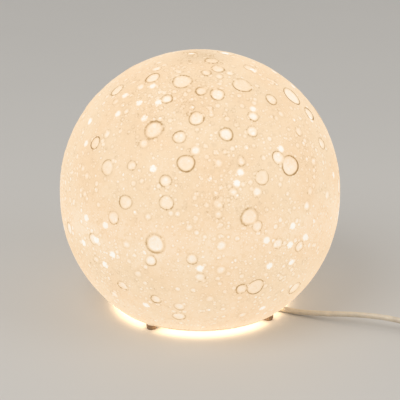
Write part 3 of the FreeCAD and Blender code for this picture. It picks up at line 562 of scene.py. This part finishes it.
def metal(name, colour, roughness):
    """Plated or bare metal: fine scratches in its gloss, and a slight tarnish."""
    material, tree, shader = new_material(name)
    place = object_coordinates(tree)
    stain = noise(tree, place, 180, 4, 0.6)
    scratch = noise(tree, place, 1600, 2, 0.7)
    colours = ramp(tree, stain, [(0.3, toned(colour, 0.88)), (0.65, colour)])
    feed(tree, shader.inputs["Base Color"], colours)
    shader.inputs["Metallic"].default_value = 1.0
    gloss = ease(tree, scratch, 0.25, 0.75, roughness - 0.05, roughness + 0.12)
    feed(tree, shader.inputs["Roughness"], gloss)
    feed(tree, shader.inputs["Normal"], bump(tree, scratch, 0.00002))
    return material


def powder_coat(name, colour):
    """Powder coat: a fine orange-peel skin, duller in its hollows."""
    material, tree, shader = new_material(name)
    place = object_coordinates(tree)
    peel = noise(tree, place, 1100, 2, 0.5)
    cloud = noise(tree, place, 35, 2)
    feed(tree, shader.inputs["Base Color"], ramp(tree, cloud, [(0.3, toned(colour, 0.95)), (0.7, colour)]))
    feed(tree, shader.inputs["Roughness"], ease(tree, peel, 0.3, 0.7, 0.38, 0.52))
    feed(tree, shader.inputs["Normal"], bump(tree, peel, 0.00006))
    return material


def ceramic(name, colour):
    """Unglazed ceramic: chalky, with specks."""
    material, tree, shader = new_material(name)
    place = object_coordinates(tree)
    distance, luck = cells(tree, place, 900)
    speck = calc(tree, "MULTIPLY", ease(tree, distance, 0.1, 0.25, 1.0, 0.0), ease(tree, luck, 0.7, 0.8))
    feed(tree, shader.inputs["Base Color"], mixed(tree, speck, colour, toned(colour, 0.6)))
    shader.inputs["Roughness"].default_value = 0.8
    feed(tree, shader.inputs["Normal"], bump(tree, noise(tree, place, 1300, 3), 0.00004))
    return material


def opal_glow(name, colour, strength):
    """Opal diffuser or diode, lit: its brightness clouds a little."""
    material, tree, shader = new_material(name)
    place = object_coordinates(tree)
    cloud = ease(tree, noise(tree, place, 90, 2), 0.3, 0.7, 0.9, 1.0)
    feed(tree, shader.inputs["Emission Color"], mixed(tree, cloud, toned(colour, 0.9), colour))
    shader.inputs["Emission Strength"].default_value = strength
    shader.inputs["Base Color"].default_value = (*toned(colour, 0.8), 1.0)
    shader.inputs["Roughness"].default_value = 0.35
    return material


def flex_pvc(settings):
    """Pale translucent sleeve: milky clouds and a soft gloss."""
    material, tree, shader = new_material("flex_pvc")
    place = object_coordinates(tree)
    colour = tuple(settings.colour)
    milk = noise(tree, place, 120, 3)
    fine = noise(tree, place, 1500, 2)
    colours = ramp(tree, milk, [(0.25, toned(colour, 0.86)), (0.5, colour), (0.8, toned(colour, 1.12))])
    feed(tree, shader.inputs["Base Color"], colours)
    feed(tree, shader.inputs["Roughness"], ease(tree, fine, 0.3, 0.7, 0.30, 0.42))
    feed(tree, shader.inputs["Normal"], bump(tree, fine, 0.00002))
    shader.inputs["Subsurface Weight"].default_value = 0.25
    shader.inputs["Subsurface Radius"].default_value = (0.9, 0.7, 0.5)
    shader.inputs["Subsurface Scale"].default_value = 0.002
    shader.inputs["Coat Weight"].default_value = 0.15
    return material


def make_finishes(settings):
    """Every material of the record, by its slot."""
    fittings = settings.fittings
    white = tuple(fittings.white)
    return {
        "shade_resin": lit_resin(settings.shade),
        "opal_plastic": opal_glow("opal_plastic", (1.0, 0.86, 0.66), 6.0),
        "base_steel": powder_coat("base_steel", tuple(fittings.steel)),
        "foot_rubber": rubber("foot_rubber", tuple(fittings.rubber)),
        "zinc_screw": metal("zinc_screw", (0.62, 0.62, 0.60), 0.30),
        "brass": metal("brass", (0.72, 0.53, 0.24), 0.28),
        "holder_black": moulded("holder_black", (0.028, 0.028, 0.030), 0.42),
        "holder_white": moulded("holder_white", (0.74, 0.72, 0.67), 0.42),
        "ceramic": ceramic("ceramic", (0.78, 0.76, 0.71)),
        "relief_rubber": moulded("relief_rubber", (0.64, 0.60, 0.53), 0.55, grain=1200),
        "lead_brown": moulded("lead_brown", (0.16, 0.06, 0.025), 0.4),
        "lead_blue": moulded("lead_blue", (0.03, 0.10, 0.36), 0.4),
        "nickel": metal("nickel", (0.66, 0.64, 0.60), 0.20),
        "black_glass": moulded("black_glass", (0.012, 0.012, 0.014), 0.12, coat=0.5),
        "housing_white": moulded("housing_white", (0.80, 0.79, 0.75), 0.34),
        "board": moulded("board", (0.78, 0.78, 0.75), 0.30),
        "led_yellow": opal_glow("led_yellow", (1.0, 0.80, 0.40), 8.0),
        "flex_pvc": flex_pvc(settings.cord),
        "switch_white": moulded("switch_white", white, 0.30, grain=1500, depth=0.00002, coat=0.2),
        "plug_white": moulded("plug_white", white, 0.33, grain=1500, depth=0.00003, coat=0.15),
        "sleeve_black": moulded("sleeve_black", (0.03, 0.03, 0.03), 0.45),
    }


FINISHES = {}


# ---------------------------------------------------------------- mesh helpers
SAME_POINT = 1e-7  # points nearer to each other than this are merged


def grid_faces(rows, columns):
    """Quads between neighbouring rows and columns; the last column joins the first."""
    row, column = np.meshgrid(np.arange(rows - 1), np.arange(columns), indexing="ij")
    after = (column + 1) % columns
    corners = [row * columns + column, row * columns + after,
               (row + 1) * columns + after, (row + 1) * columns + column]
    return np.stack(corners, -1).reshape(-1, 4)


def mesh_from_faces(name, points, loops, sizes):
    """A mesh of the points, with faces of these sizes whose corners follow each other in loops."""
    starts = np.concatenate([[0], np.cumsum(sizes)[:-1]])
    mesh = bpy.data.meshes.new(name)
    mesh.vertices.add(len(points))
    mesh.vertices.foreach_set("co", points.astype(np.float32).ravel())
    mesh.loops.add(len(loops))
    mesh.loops.foreach_set("vertex_index", loops.astype(np.int32))
    mesh.polygons.add(len(sizes))
    mesh.polygons.foreach_set("loop_start", starts.astype(np.int32))
    mesh.update(calc_edges=True)
    return mesh


def mesh_from_grid(name, points):
    """A mesh of a (rows, columns, 3) grid, with poles merged and its faces turned outwards."""
    rows, columns = points.shape[:2]
    faces = grid_faces(rows, columns)
    mesh = mesh_from_faces(name, points.reshape(-1, 3), faces.ravel(), np.full(len(faces), 4))
    work = bmesh.new()
    work.from_mesh(mesh)
    bmesh.ops.remove_doubles(work, verts=work.verts, dist=SAME_POINT)
    bmesh.ops.recalc_face_normals(work, faces=work.faces)
    work.to_mesh(mesh)
    work.free()
    return mesh


def make_piece(name, mesh, slot, replaced, sharp=35):
    """Puts the mesh in the scene as a piece that stands for one node, with its slot's finish."""
    mesh.materials.append(FINISHES[slot])
    mesh.polygons.foreach_set("use_smooth", np.ones(len(mesh.polygons), bool))
    mesh.set_sharp_from_angle(angle=math.radians(sharp))
    piece = bpy.data.objects.new(name, mesh)
    bpy.context.scene.collection.objects.link(piece)
    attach(piece, "lamp")
    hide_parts(replaced)


def eased_line(points, radius, steps):
    """The line through (radius, height) points, with each inner corner rounded by an arc.

    The arc at a corner is the quadratic curve between two points beside it.
    """
    points = np.asarray(points, float)
    lead_in = points[1:-1] + unit(points[:-2] - points[1:-1]) * radius
    lead_out = points[1:-1] + unit(points[2:] - points[1:-1]) * radius
    t = np.linspace(0, 1, steps)[None, :, None]
    corner = points[1:-1, None]
    arcs = (1 - t) ** 2 * lead_in[:, None] + 2 * t * (1 - t) * corner + t ** 2 * lead_out[:, None]
    return np.concatenate([points[:1], arcs.reshape(-1, 2), points[-1:]])


def unit(vectors):
    """The vectors at length 1."""
    return vectors / np.linalg.norm(vectors, axis=-1, keepdims=True)


def turned(line, columns):
    """The surface that a (radius, height) line sweeps about the Z axis: (r cos a, r sin a, z)."""
    angle = np.linspace(0, 2 * np.pi, columns, endpoint=False)
    radius, height = line[:, 0, None], line[:, 1, None]
    return np.stack([radius * np.cos(angle), radius * np.sin(angle), height + 0 * angle], -1)


# ---------------------------------------------------------------- shade
def ball_centres(shade):
    """The ball's radius, and the heights of the middles of its upper and lower half."""
    ball = shade.diameter / 2
    high = TOP_Z - ball
    return ball, high, high - shade.band


def skin_line(shade):
    """The outer line of the shade, from its top to its rim, in even steps along the line.

    A quarter circle, the straight band, and an arc down to the rim. Returns the (radius, height)
    rows and the angle of the outward direction at each row.
    """
    ball, high, low = ball_centres(shade)
    quarter = ball * math.pi / 2
    lower = ball * math.asin((low - RIM_Z) / ball)
    step = np.linspace(0, quarter + shade.band + lower, shade.rows)
    angle = np.where(step < quarter, math.pi / 2 - step / ball,
                     -np.clip(step - quarter - shade.band, 0, None) / ball)
    centre = high - np.clip(step - quarter, 0, shade.band)
    return np.stack([ball * np.cos(angle), centre + ball * np.sin(angle)], 1), angle


RIM_CORNER = 0.0008  # from the rim's outer edge to the first point of its underside
RIM_EASING = 0.0004
INNER_ROWS = 14


def inner_line(shade):
    """From the rim's outer corner along its underside, up the mouth, and inside up to the top."""
    ball, high, low = ball_centres(shade)
    inner = ball - shade.wall
    rim_r = math.sqrt(ball ** 2 - (low - RIM_Z) ** 2)
    top = RIM_Z + shade.flange
    shelf = math.sqrt(inner ** 2 - (low - top) ** 2)
    rim = eased_line([
        (rim_r, RIM_Z),
        (rim_r - RIM_CORNER, RIM_Z),
        (shade.mouth / 2, RIM_Z),
        (shade.mouth / 2, top),
        (shelf, top),
    ], RIM_EASING, 3)
    angle = np.linspace(-math.asin((low - top) / inner), math.pi / 2, INNER_ROWS)
    inside = np.stack([inner * np.cos(angle), np.where(angle < 0, low, high) + inner * np.sin(angle)], 1)
    return np.concatenate([rim[1:], inside[1:]])


def skin_point(shade, longitude, latitude):
    """Where a crater lies on the skin, and the way out from it."""
    ball, high, low = ball_centres(shade)
    lo, la = math.radians(longitude), math.radians(latitude)
    out = np.array([math.cos(la) * math.cos(lo), math.cos(la) * math.sin(lo), math.sin(la)])
    middle = high if latitude > 0 else low if latitude < 0 else (high + low) / 2
    return np.array([0, 0, middle]) + out * ball, out


GOLDEN_ANGLE = 137.508
LOWEST, HIGHEST = -45, 86  # latitudes that the scattered places run between
CAMERA_SIDE = -100  # longitude that faces the camera
FACING_AWAY = 0.28  # a place faces away when it points less than this share to the camera's side
HIDDEN_CRATERS = 260
HIDDEN_SPOTS = 120
SPOTS_KEPT = 0.55
CRATER_GAP = 0.0008


def scattered(count, seed):
    """Places over the ball: a golden-angle spiral, each place shifted a little at random."""
    random = np.random.default_rng(seed)
    lift = np.linspace(math.sin(math.radians(LOWEST)), math.sin(math.radians(HIGHEST)), count)
    lift = np.clip(lift + random.normal(0, 0.02, count), -0.75, 0.998)
    latitude = np.degrees(np.arcsin(lift))
    longitude = (np.arange(count) * GOLDEN_ANGLE + random.normal(0, 6, count)) % 360
    return longitude, latitude, random


def hidden_craters(shade):
    """Small craters for the sides that face away, 4.5 to 10 mm across, clear of all others."""
    longitude, latitude, random = scattered(HIDDEN_CRATERS, seed=11)
    size = 4.5 + 5.5 * random.random(HIDDEN_CRATERS) ** 2
    taken = [(skin_point(shade, lo, la)[0], d / 2 * MM) for lo, la, d in LARGE_CRATERS + SMALL_CRATERS]
    towards = np.cos(np.radians(longitude - CAMERA_SIDE)) * np.cos(np.radians(latitude))
    found = []
    for lo, la, d in zip(*(values[towards < FACING_AWAY] for values in (longitude, latitude, size))):
        place, radius = skin_point(shade, lo, la)[0], d / 2 * MM
        if all(np.linalg.norm(place - p) > r + radius + CRATER_GAP for p, r in taken):
            found.append((lo, la, d))
            taken.append((place, radius))
    return found


def hidden_spots():
    """Bright spots for the sides that face away: about half of the scattered places there."""
    longitude, latitude, random = scattered(HIDDEN_SPOTS, seed=5)
    towards = np.cos(np.radians(longitude - CAMERA_SIDE)) * np.cos(np.radians(latitude))
    kept = (towards < FACING_AWAY) & (random.random(HIDDEN_SPOTS) < SPOTS_KEPT)
    return list(zip(longitude[kept], latitude[kept]))


SMALL_CRATER = 8.8  # craters narrower than this, in millimetres, have a fainter edge
CRATER_REACH = 0.012  # how far past its radius a crater changes the skin
NO_CRATER = 0.05  # distance given to the points that no crater reaches


def crater_looks(number, crater):
    """How dark a crater's edge is, how soft it is, and how bright its floor.

    A chance that differs from crater to crater spreads all three a little.
    """
    longitude, latitude, diameter = crater
    place = (longitude, latitude)
    chance = (number * 0.618) % 1.0
    small = diameter < SMALL_CRATER
    if place in DARKEST_CRATERS:
        strength = 1.5
    elif place in SHARP_CRATERS:
        strength = 0.45 if small else 0.78
    else:
        strength = 0.10 + 0.14 * chance if small else 0.46 + 0.3 * chance
    soft = 0.7 if place in SOFT_CRATERS else 0.25 * chance
    floor = 0.75 + 0.2 * chance + 0.25 * np.clip((12 - diameter) / 5, 0, 1)
    if place in BRIGHT_CRATERS:
        floor += 0.45
    return strength, soft, floor


def crater_field(shade, points, craters):
    """For each point, what its nearest crater gives it, as a dict of arrays.

    edge is the distance to the crater's edge, below 0 inside, and size its radius. tone darkens the
    edge, more on one side: a share plus a cosine of the bearing round the crater. soft widens the
    edge, and floor brightens the floor. An edge is a circle whose radius swells by a few percent
    with two and three waves round it.
    """
    field = {"edge": np.full(len(points), 1.0), "size": np.full(len(points), 1.0)}
    field |= {key: np.zeros(len(points)) for key in ("tone", "soft", "floor")}
    for number, crater in enumerate(craters):
        longitude, latitude, diameter = crater
        place, out = skin_point(shade, longitude, latitude)
        radius = diameter / 2 * MM
        offset = points - place
        distance = np.linalg.norm(offset, axis=1)
        near = distance < radius * 1.2 + CRATER_REACH
        offset, distance = offset[near], distance[near]
        east = unit(np.cross((0.0, 0.0, 1.0), out))
        bearing = np.arctan2(offset @ np.cross(out, east), offset @ east)
        swell = 0.035 * np.sin(2 * bearing + number) + 0.03 * np.sin(3 * bearing + 2.3 * number)
        gap = distance - radius * (1 + swell)
        closer = gap < field["edge"][near]
        index = np.flatnonzero(near)[closer]
        strength, soft, floor = crater_looks(number, crater)
        dark_side = math.radians(225 + 75 * math.sin(1.7 * number))
        field["edge"][index] = gap[closer]
        field["size"][index] = radius
        field["tone"][index] = strength * (0.74 + 0.26 * np.cos(bearing[closer] - dark_side))
        field["soft"][index] = soft
        field["floor"][index] = floor
    return field


def crater_relief(shade, edge, size):
    """Height of the skin: a lip that fades from the edge, and a bowl inside it.

    The lip is a bell curve of the distance to the edge. The bowl is one less the square of the
    distance from the middle, in radii, times a depth that grows with the crater.
    """
    share = np.clip(size / (8 * MM), 0.25, 1.0)
    lip = shade.lip * share * np.exp(-(edge / (0.0011 + 0.05 * size)) ** 2)
    from_middle = np.clip(1 + edge / size, 0, 1)
    depth = (0.00025 + 0.1 * size) * share
    return lip - depth * (1 - from_middle ** 2)


def skin_values(shade, outer, inside, field):
    """The values that the finish reads, for the outer points and then the inside ones.

    Beside the craters' values: the squared distance to the nearest bright spot, how much bubbles
    crowd there, a bell curve of the distance to the patch's middle, and whether the point is on
    the rim's underside.
    """
    spots = [skin_point(shade, *spot)[0] for spot in BRIGHT_SPOTS + hidden_spots()]
    spot = np.min([((outer - place) ** 2).sum(1) for place in spots], axis=0) / MM ** 2
    patches = [(skin_point(shade, lo, la)[0], reach * MM) for lo, la, reach in BUBBLY_PATCHES]
    bells = [np.exp(-((outer - place) ** 2).sum(1) / reach ** 2) for place, reach in patches]
    zero = np.zeros(len(inside))
    under = (inside[:, 2] < RIM_Z + 0.0002).astype(float)
    return {
        "crater_edge": np.concatenate([field["edge"], zero + NO_CRATER]),
        "crater_tone": np.concatenate([field["tone"], zero]),
        "crater_soft": np.concatenate([field["soft"], zero]),
        "crater_floor": np.concatenate([field["floor"], zero]),
        "bright_spot": np.concatenate([spot, zero + SPOT_NONE]),
        "bubbly": np.concatenate([np.max(bells, axis=0), zero]),
        "under_rim": np.concatenate([np.zeros(len(outer)), under]),
    }


def shade_mesh(shade):
    """The whole shade as one closed skin, outer rows with craters and plain rows inside."""
    line, slope = skin_line(shade)
    points = turned(np.concatenate([line, inner_line(shade)]), shade.columns)
    outer = points[:shade.rows].reshape(-1, 3)
    out = turned(np.stack([np.cos(slope), np.sin(slope)], 1), shade.columns).reshape(-1, 3)

    craters = LARGE_CRATERS + SMALL_CRATERS + hidden_craters(shade)
    field = crater_field(shade, outer, craters)
    fade = np.clip((outer[:, 2] - RIM_Z - 0.001) / 0.003, 0, 1)
    lift = crater_relief(shade, field["edge"], field["size"]) * fade
    relief = outer + out * lift[:, None]
    inside = points[shade.rows:].reshape(-1, 3)
    values = skin_values(shade, outer, inside, field)
    points = np.concatenate([relief, inside]).reshape(points.shape)
    return mesh_with_values("moon_shade_skin", points, values)


def mesh_with_values(name, points, values):
    """A closed grid with point attributes, whose first and last row are one point each.

    The faces at those poles are triangles: the quads there without their repeated corner.
    """
    rows, columns = points.shape[:2]
    kept = np.concatenate([[0], np.arange(columns, (rows - 1) * columns + 1)])
    number = np.clip(np.arange(rows * columns) - (columns - 1), 0, len(kept) - 1)
    faces = number[grid_faces(rows, columns)[:, ::-1]]
    top, body, bottom = faces[:columns], faces[columns:-columns], faces[-columns:]
    loops = np.concatenate([top[:, :3].ravel(), body.ravel(), bottom[:, [0, 2, 3]].ravel()])
    sizes = np.concatenate([np.full(columns, 3), np.full(len(body), 4), np.full(columns, 3)])
    mesh = mesh_from_faces(name, points.reshape(-1, 3)[kept], loops, sizes)
    for key, value in values.items():
        layer = mesh.attributes.new(key, "FLOAT", "POINT")
        layer.data.foreach_set("value", value[kept].astype(np.float32))
    return mesh


class MOONLAMP_OT_shade(bpy.types.Operator):
    """Make the cratered shade"""

    bl_idname = "moonlamp.shade"
    bl_label = "Shade"

    def execute(self, context):
        shade = context.scene.moon_lamp.shade
        mesh = shade_mesh(shade)
        make_piece("moon_shade_skin", mesh, "shade_resin", "moon_shade", 60)
        return {"FINISHED"}


# ---------------------------------------------------------------- feet
FOOT_BORE_R = 0.0031
FOOT_EASING = 0.0003


def foot_mesh(name, node):
    """A turned rubber foot: eased edges, a shallow groove round it, and a bore for its screw."""
    low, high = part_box(node)
    middle = (low + high) / 2
    radius = (high.x - low.x) / 2
    tall = high.z - low.z
    line = eased_line([
        (FOOT_BORE_R, tall),
        (FOOT_BORE_R, 0.0),
        (radius - 0.0006, 0.0),
        (radius - 0.0002, tall * 0.45),
        (radius - 0.0005, tall * 0.55),
        (radius, tall * 0.66),
        (radius, tall),
        (FOOT_BORE_R, tall),
    ], FOOT_EASING, 4)
    points = turned(line, 64) + np.array([middle.x, middle.y, low.z])
    return mesh_from_grid(name, points)


class MOONLAMP_OT_feet(bpy.types.Operator):
    """Make the four rubber feet"""

    bl_idname = "moonlamp.feet"
    bl_label = "Feet"

    def execute(self, context):
        for where in FOOT_NAMES:
            node = "foot_" + where
            name = "rubber_" + node
            make_piece(name, foot_mesh(name, node), "foot_rubber", node)
        return {"FINISHED"}


# ---------------------------------------------------------------- flex
def flex_curve(name, route, diameter):
    """A round tube on a smooth curve with the route's points as its control points."""
    curve = bpy.data.curves.new(name, "CURVE")
    curve.dimensions = "3D"
    curve.resolution_u = 6
    curve.bevel_depth = diameter / 2
    curve.bevel_resolution = 5
    curve.use_fill_caps = True
    spline = curve.splines.new("NURBS")
    spline.points.add(len(route) - 1)
    spline.points.foreach_set("co", np.array([(*point, 1.0) for point in route]).ravel())
    spline.order_u = 3
    spline.use_endpoint_u = True
    curve.materials.append(FINISHES["flex_pvc"])
    piece = bpy.data.objects.new(name, curve)
    bpy.context.scene.collection.objects.link(piece)
    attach(piece, "lamp")
    return piece


class MOONLAMP_OT_flex(bpy.types.Operator):
    """Lay the flex from the lamp to the switch, and on through its coil to the plug"""

    bl_idname = "moonlamp.flex"
    bl_label = "Flex"

    def execute(self, context):
        diameter = context.scene.moon_lamp.cord.diameter
        first = flex_curve("lamp_flex", LAMP_CORD_ROUTE, diameter)
        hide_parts("lamp_cord")
        route = SWITCH_CORD_ROUTE + coil_points() + PLUG_CORD_ROUTE
        second = flex_curve("plug_flex", route, diameter)
        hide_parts("switch_cord", "cord_coil", "plug_cord")
        return {"FINISHED"}


# ---------------------------------------------------------------- plug
PIN_GAP = 0.0186
PIN_R = 0.0019
SLEEVE_DOME = 0.0002
PIN_DOME = 0.0016
RELIEF_RIBS = 6
RELIEF_START_R = 0.0030
RELIEF_FLARE = 0.0016  # how much wider it is at the plug
RELIEF_GROOVE = 0.0007
RELIEF_MOUTH = 0.00025  # how much its first edge is rounded
BODY_EDGE = 0.0016  # radius that its two ends round off on
BODY_BACK_X = 0.0070  # half its width at the flex
BODY_BACK_Z = 0.0052  # half its height at the flex
BODY_SECTION = 96
PLUG_SHARP = 50  # degrees over which an edge of the plug stays sharp


def laid_along_y(points, start, offset=0.0):
    """Turns a grid made about the Z axis to run along +Y, from the start, beside the plug's axis."""
    x, y, z = points[..., 0], points[..., 1], points[..., 2]
    return np.stack([PLUG_AXIS_X + offset + x, start + z, PLUG_AXIS_Z + y], -1)


def relief_grid(start, end):
    """A sleeve that widens towards the plug, with rounded ribs.

    The radius grows evenly along the sleeve, and falls in the grooves: a cosine wave squeezed by
    tanh into a soft square wave, eased off at both ends.
    """
    t = np.linspace(0, 1, 150)
    wave = 0.5 + 0.5 * np.tanh(3.5 * np.cos(2 * np.pi * RELIEF_RIBS * t))
    ribbed = np.clip((t - 0.06) / 0.05, 0, 1) * np.clip((0.90 - t) / 0.05, 0, 1)
    radius = RELIEF_START_R + RELIEF_FLARE * t - RELIEF_GROOVE * (1 - wave) * ribbed
    radius = radius - RELIEF_MOUTH * np.clip(1 - t / 0.02, 0, 1)
    length = end - start
    line = np.concatenate([[(0.0, 0.0)], np.stack([radius, t * length], 1), [(0.0, length)]])
    return laid_along_y(turned(line, 48), start)


def body_grid(start, end, half_width, half_height):
    """The plug's body: superellipse sections whose width grows from the flex to the pins.

    The half width follows a smooth step from the narrow back to the broad front, the half height
    rises over the first third, and both ends round off on a quarter circle to flat faces.
    """
    length = end - start
    turn = np.linspace(0, np.pi / 2, 8)
    rounding = BODY_EDGE * (1 - np.sin(turn))
    inset = np.concatenate([rounding, np.zeros(28), rounding[::-1]])
    along = np.concatenate([
        BODY_EDGE * (1 - np.cos(turn)),
        np.linspace(BODY_EDGE, length - BODY_EDGE, 30)[1:-1],
        length - BODY_EDGE * (1 - np.cos(turn[::-1])),
    ])
    grow = np.clip(along / (0.60 * length), 0, 1)
    grow = grow * grow * (3 - 2 * grow)
    wide = BODY_BACK_X + (half_width - BODY_BACK_X) * grow - inset
    rise = np.clip(along / (0.35 * length), 0, 1)
    tall = BODY_BACK_Z + (half_height - BODY_BACK_Z) * rise * (2 - rise) - inset
    angle = np.linspace(0, 2 * np.pi, BODY_SECTION, endpoint=False)
    round_x, round_y = (np.sign(w) * np.abs(w) ** 0.5 for w in (np.cos(angle), np.sin(angle)))
    rings = np.stack([wide[:, None] * round_x, tall[:, None] * round_y, along[:, None] + 0 * angle], -1)
    back = np.zeros((1, BODY_SECTION, 3))
    return laid_along_y(np.concatenate([back, rings, back + (0, 0, length)]), start)


def pin_line(length, dome):
    """A round bar with a flat root and a tip on a quarter ellipse, as high as the dome."""
    turn = np.linspace(0, np.pi / 2, 10)
    tip = np.stack([PIN_R * np.cos(turn), length - dome + dome * np.sin(turn)], 1)
    return np.concatenate([[(0.0, 0.0), (PIN_R, 0.0)], tip])


def both_pins(name, node, dome):
    """A turned bar as long as the node on both sides of the plug's axis, as one mesh."""
    low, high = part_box(node)
    line = pin_line(high.y - low.y, dome)
    work = bmesh.new()
    for side in (-0.5, 0.5):
        one = mesh_from_grid(name, laid_along_y(turned(line, 40), low.y, side * PIN_GAP))
        work.from_mesh(one)
        bpy.data.meshes.remove(one)
    mesh = bpy.data.meshes.new(name)
    work.to_mesh(mesh)
    work.free()
    return mesh


class MOONLAMP_OT_plug(bpy.types.Operator):
    """Make the flat plug: ribbed relief, moulded body, insulated pins and their bare ends"""

    bl_idname = "moonlamp.plug"
    bl_label = "Plug"

    def execute(self, context):
        low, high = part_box("plug_relief")
        mesh = mesh_from_grid("ribbed_relief", relief_grid(low.y, high.y))
        make_piece("ribbed_relief", mesh, "plug_white", "plug_relief", PLUG_SHARP)
        low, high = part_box("plug_body")
        grid = body_grid(low.y, high.y, (high.x - low.x) / 2, (high.z - low.z) / 2)
        mesh = mesh_from_grid("moulded_plug", grid)
        make_piece("moulded_plug", mesh, "plug_white", "plug_body", PLUG_SHARP)
        for name, node, dome, slot in (
                ("sleeved_pin_roots", "pin_sleeves", SLEEVE_DOME, "sleeve_black"),
                ("bare_pin_ends", "plug_pins", PIN_DOME, "nickel")):
            make_piece(name, both_pins(name, node, dome), slot, node)
        return {"FINISHED"}


# ---------------------------------------------------------------- carried-over parts
class MOONLAMP_OT_fittings(bpy.types.Operator):
    """Give every remaining part of the frame the finish of its slot"""

    bl_idname = "moonlamp.fittings"
    bl_label = "Fittings"

    def execute(self, context):
        for part in frame["record"]["subparts"]:
            node = frame["nodes"][part["node"]]
            node.data.materials.clear()
            node.data.materials.append(FINISHES[part["material_slot"]])
        return {"FINISHED"}


# ---------------------------------------------------------------- stage
SENSOR_WIDTH = 36.0  # mm
FLOOR_HALF = 6.0
LIGHTS_AIM = (0, 0, 0.1)
LIGHTS_SIZE = 1.2
# Name, place and power in watts of each lamp of the studio.
STUDIO_LIGHTS = (("key_light", (-0.9, -0.7, 1.6), 11), ("fill_light", (1.3, -0.9, 1.1), 5))
EVEN_LIGHT = (1.0, 0.98, 0.95, 1.0)


def aim(thing, place, target):
    """Puts the camera or lamp in its place and turns it to the target."""
    thing.location = place
    thing.rotation_mode = "QUATERNION"
    thing.rotation_quaternion = (Vector(target) - Vector(place)).to_track_quat("-Z", "Y")


def area_light(name, place, power):
    """A round soft lamp that looks at the ball."""
    light = bpy.data.lights.new(name, "AREA")
    light.shape = "DISK"
    light.size = LIGHTS_SIZE
    light.energy = power
    thing = bpy.data.objects.new(name, light)
    bpy.context.scene.collection.objects.link(thing)
    aim(thing, place, LIGHTS_AIM)


def make_floor(stage):
    """A wide pale floor with a faint cloud in its colour."""
    corners = [(-FLOOR_HALF, -FLOOR_HALF, 0), (FLOOR_HALF, -FLOOR_HALF, 0),
               (FLOOR_HALF, FLOOR_HALF, 0), (-FLOOR_HALF, FLOOR_HALF, 0)]
    mesh = bpy.data.meshes.new("floor")
    mesh.from_pydata(corners, [], [(0, 1, 2, 3)])
    floor = bpy.data.objects.new("floor", mesh)
    bpy.context.scene.collection.objects.link(floor)
    material, tree, shader = new_material("floor_paint")
    cloud = noise(tree, object_coordinates(tree), 3, 3)
    colour = tuple(stage.floor)
    feed(tree, shader.inputs["Base Color"], ramp(tree, cloud, [(0.3, toned(colour, 0.985)), (0.7, colour)]))
    shader.inputs["Roughness"].default_value = 0.55
    shader.inputs["Specular IOR Level"].default_value = 0.3
    mesh.materials.append(material)


def make_camera(stage, shade):
    """The camera looks at the ball from the front, slightly from its left, and from above."""
    a, e = math.radians(stage.azimuth), math.radians(stage.elevation)
    back = Vector((math.sin(a) * math.cos(e), -math.cos(a) * math.cos(e), math.sin(e)))
    right = Vector((math.cos(a), math.sin(a), 0))
    up = right.cross(-back)
    middle = Vector((0, 0, TOP_Z - (shade.diameter + shade.band) / 2))
    camera = bpy.data.objects.new("camera", bpy.data.cameras.new("camera"))
    bpy.context.scene.collection.objects.link(camera)
    camera.data.sensor_width = SENSOR_WIDTH
    camera.data.lens = stage.lens
    aim(camera, middle + back * stage.distance, middle - up * stage.drop)
    bpy.context.scene.camera = camera


class MOONLAMP_OT_stage(bpy.types.Operator):
    """Set the floor, the studio light and the camera"""

    bl_idname = "moonlamp.stage"
    bl_label = "Stage"

    def execute(self, context):
        stage = context.scene.moon_lamp.stage
        make_floor(stage)
        make_camera(stage, context.scene.moon_lamp.shade)
        for name, place, power in STUDIO_LIGHTS:
            area_light(name, place, power)
        world = bpy.data.worlds.new("studio")
        world.use_nodes = True
        background = world.node_tree.nodes["Background"]
        background.inputs["Strength"].default_value = stage.world
        background.inputs["Color"].default_value = EVEN_LIGHT
        context.scene.world = world
        context.scene.view_settings.view_transform = "Standard"
        return {"FINISHED"}


# ---------------------------------------------------------------- panel and start
OPERATORS = (MOONLAMP_OT_stage, MOONLAMP_OT_plug, MOONLAMP_OT_flex, MOONLAMP_OT_fittings, MOONLAMP_OT_shade,
             MOONLAMP_OT_feet)


class MOONLAMP_PT_panel(bpy.types.Panel):
    """The buttons that make the lamp and its stage"""

    bl_label = "Moon Lamp"
    bl_idname = "MOONLAMP_PT_panel"
    bl_space_type = "VIEW_3D"
    bl_region_type = "UI"
    bl_category = "Moon Lamp"

    def draw(self, context):
        for operator in OPERATORS:
            self.layout.operator(operator.bl_idname)


CLASSES = (ShadeSettings, CordSettings, FittingSettings, StageSettings, MoonLampSettings,
           *OPERATORS, MOONLAMP_PT_panel)


def register():
    for made in CLASSES:
        bpy.utils.register_class(made)
    bpy.types.Scene.moon_lamp = PointerProperty(type=MoonLampSettings)


def unregister():
    del bpy.types.Scene.moon_lamp
    for made in reversed(CLASSES):
        bpy.utils.unregister_class(made)


def main():
    register()
    FINISHES.update(make_finishes(bpy.context.scene.moon_lamp))
    bpy.ops.moonlamp.stage()
    bpy.ops.moonlamp.plug()
    bpy.ops.moonlamp.flex()
    bpy.ops.moonlamp.fittings()
    bpy.ops.moonlamp.shade()
    bpy.ops.moonlamp.feet()


if __name__ == "__main__":
    main()
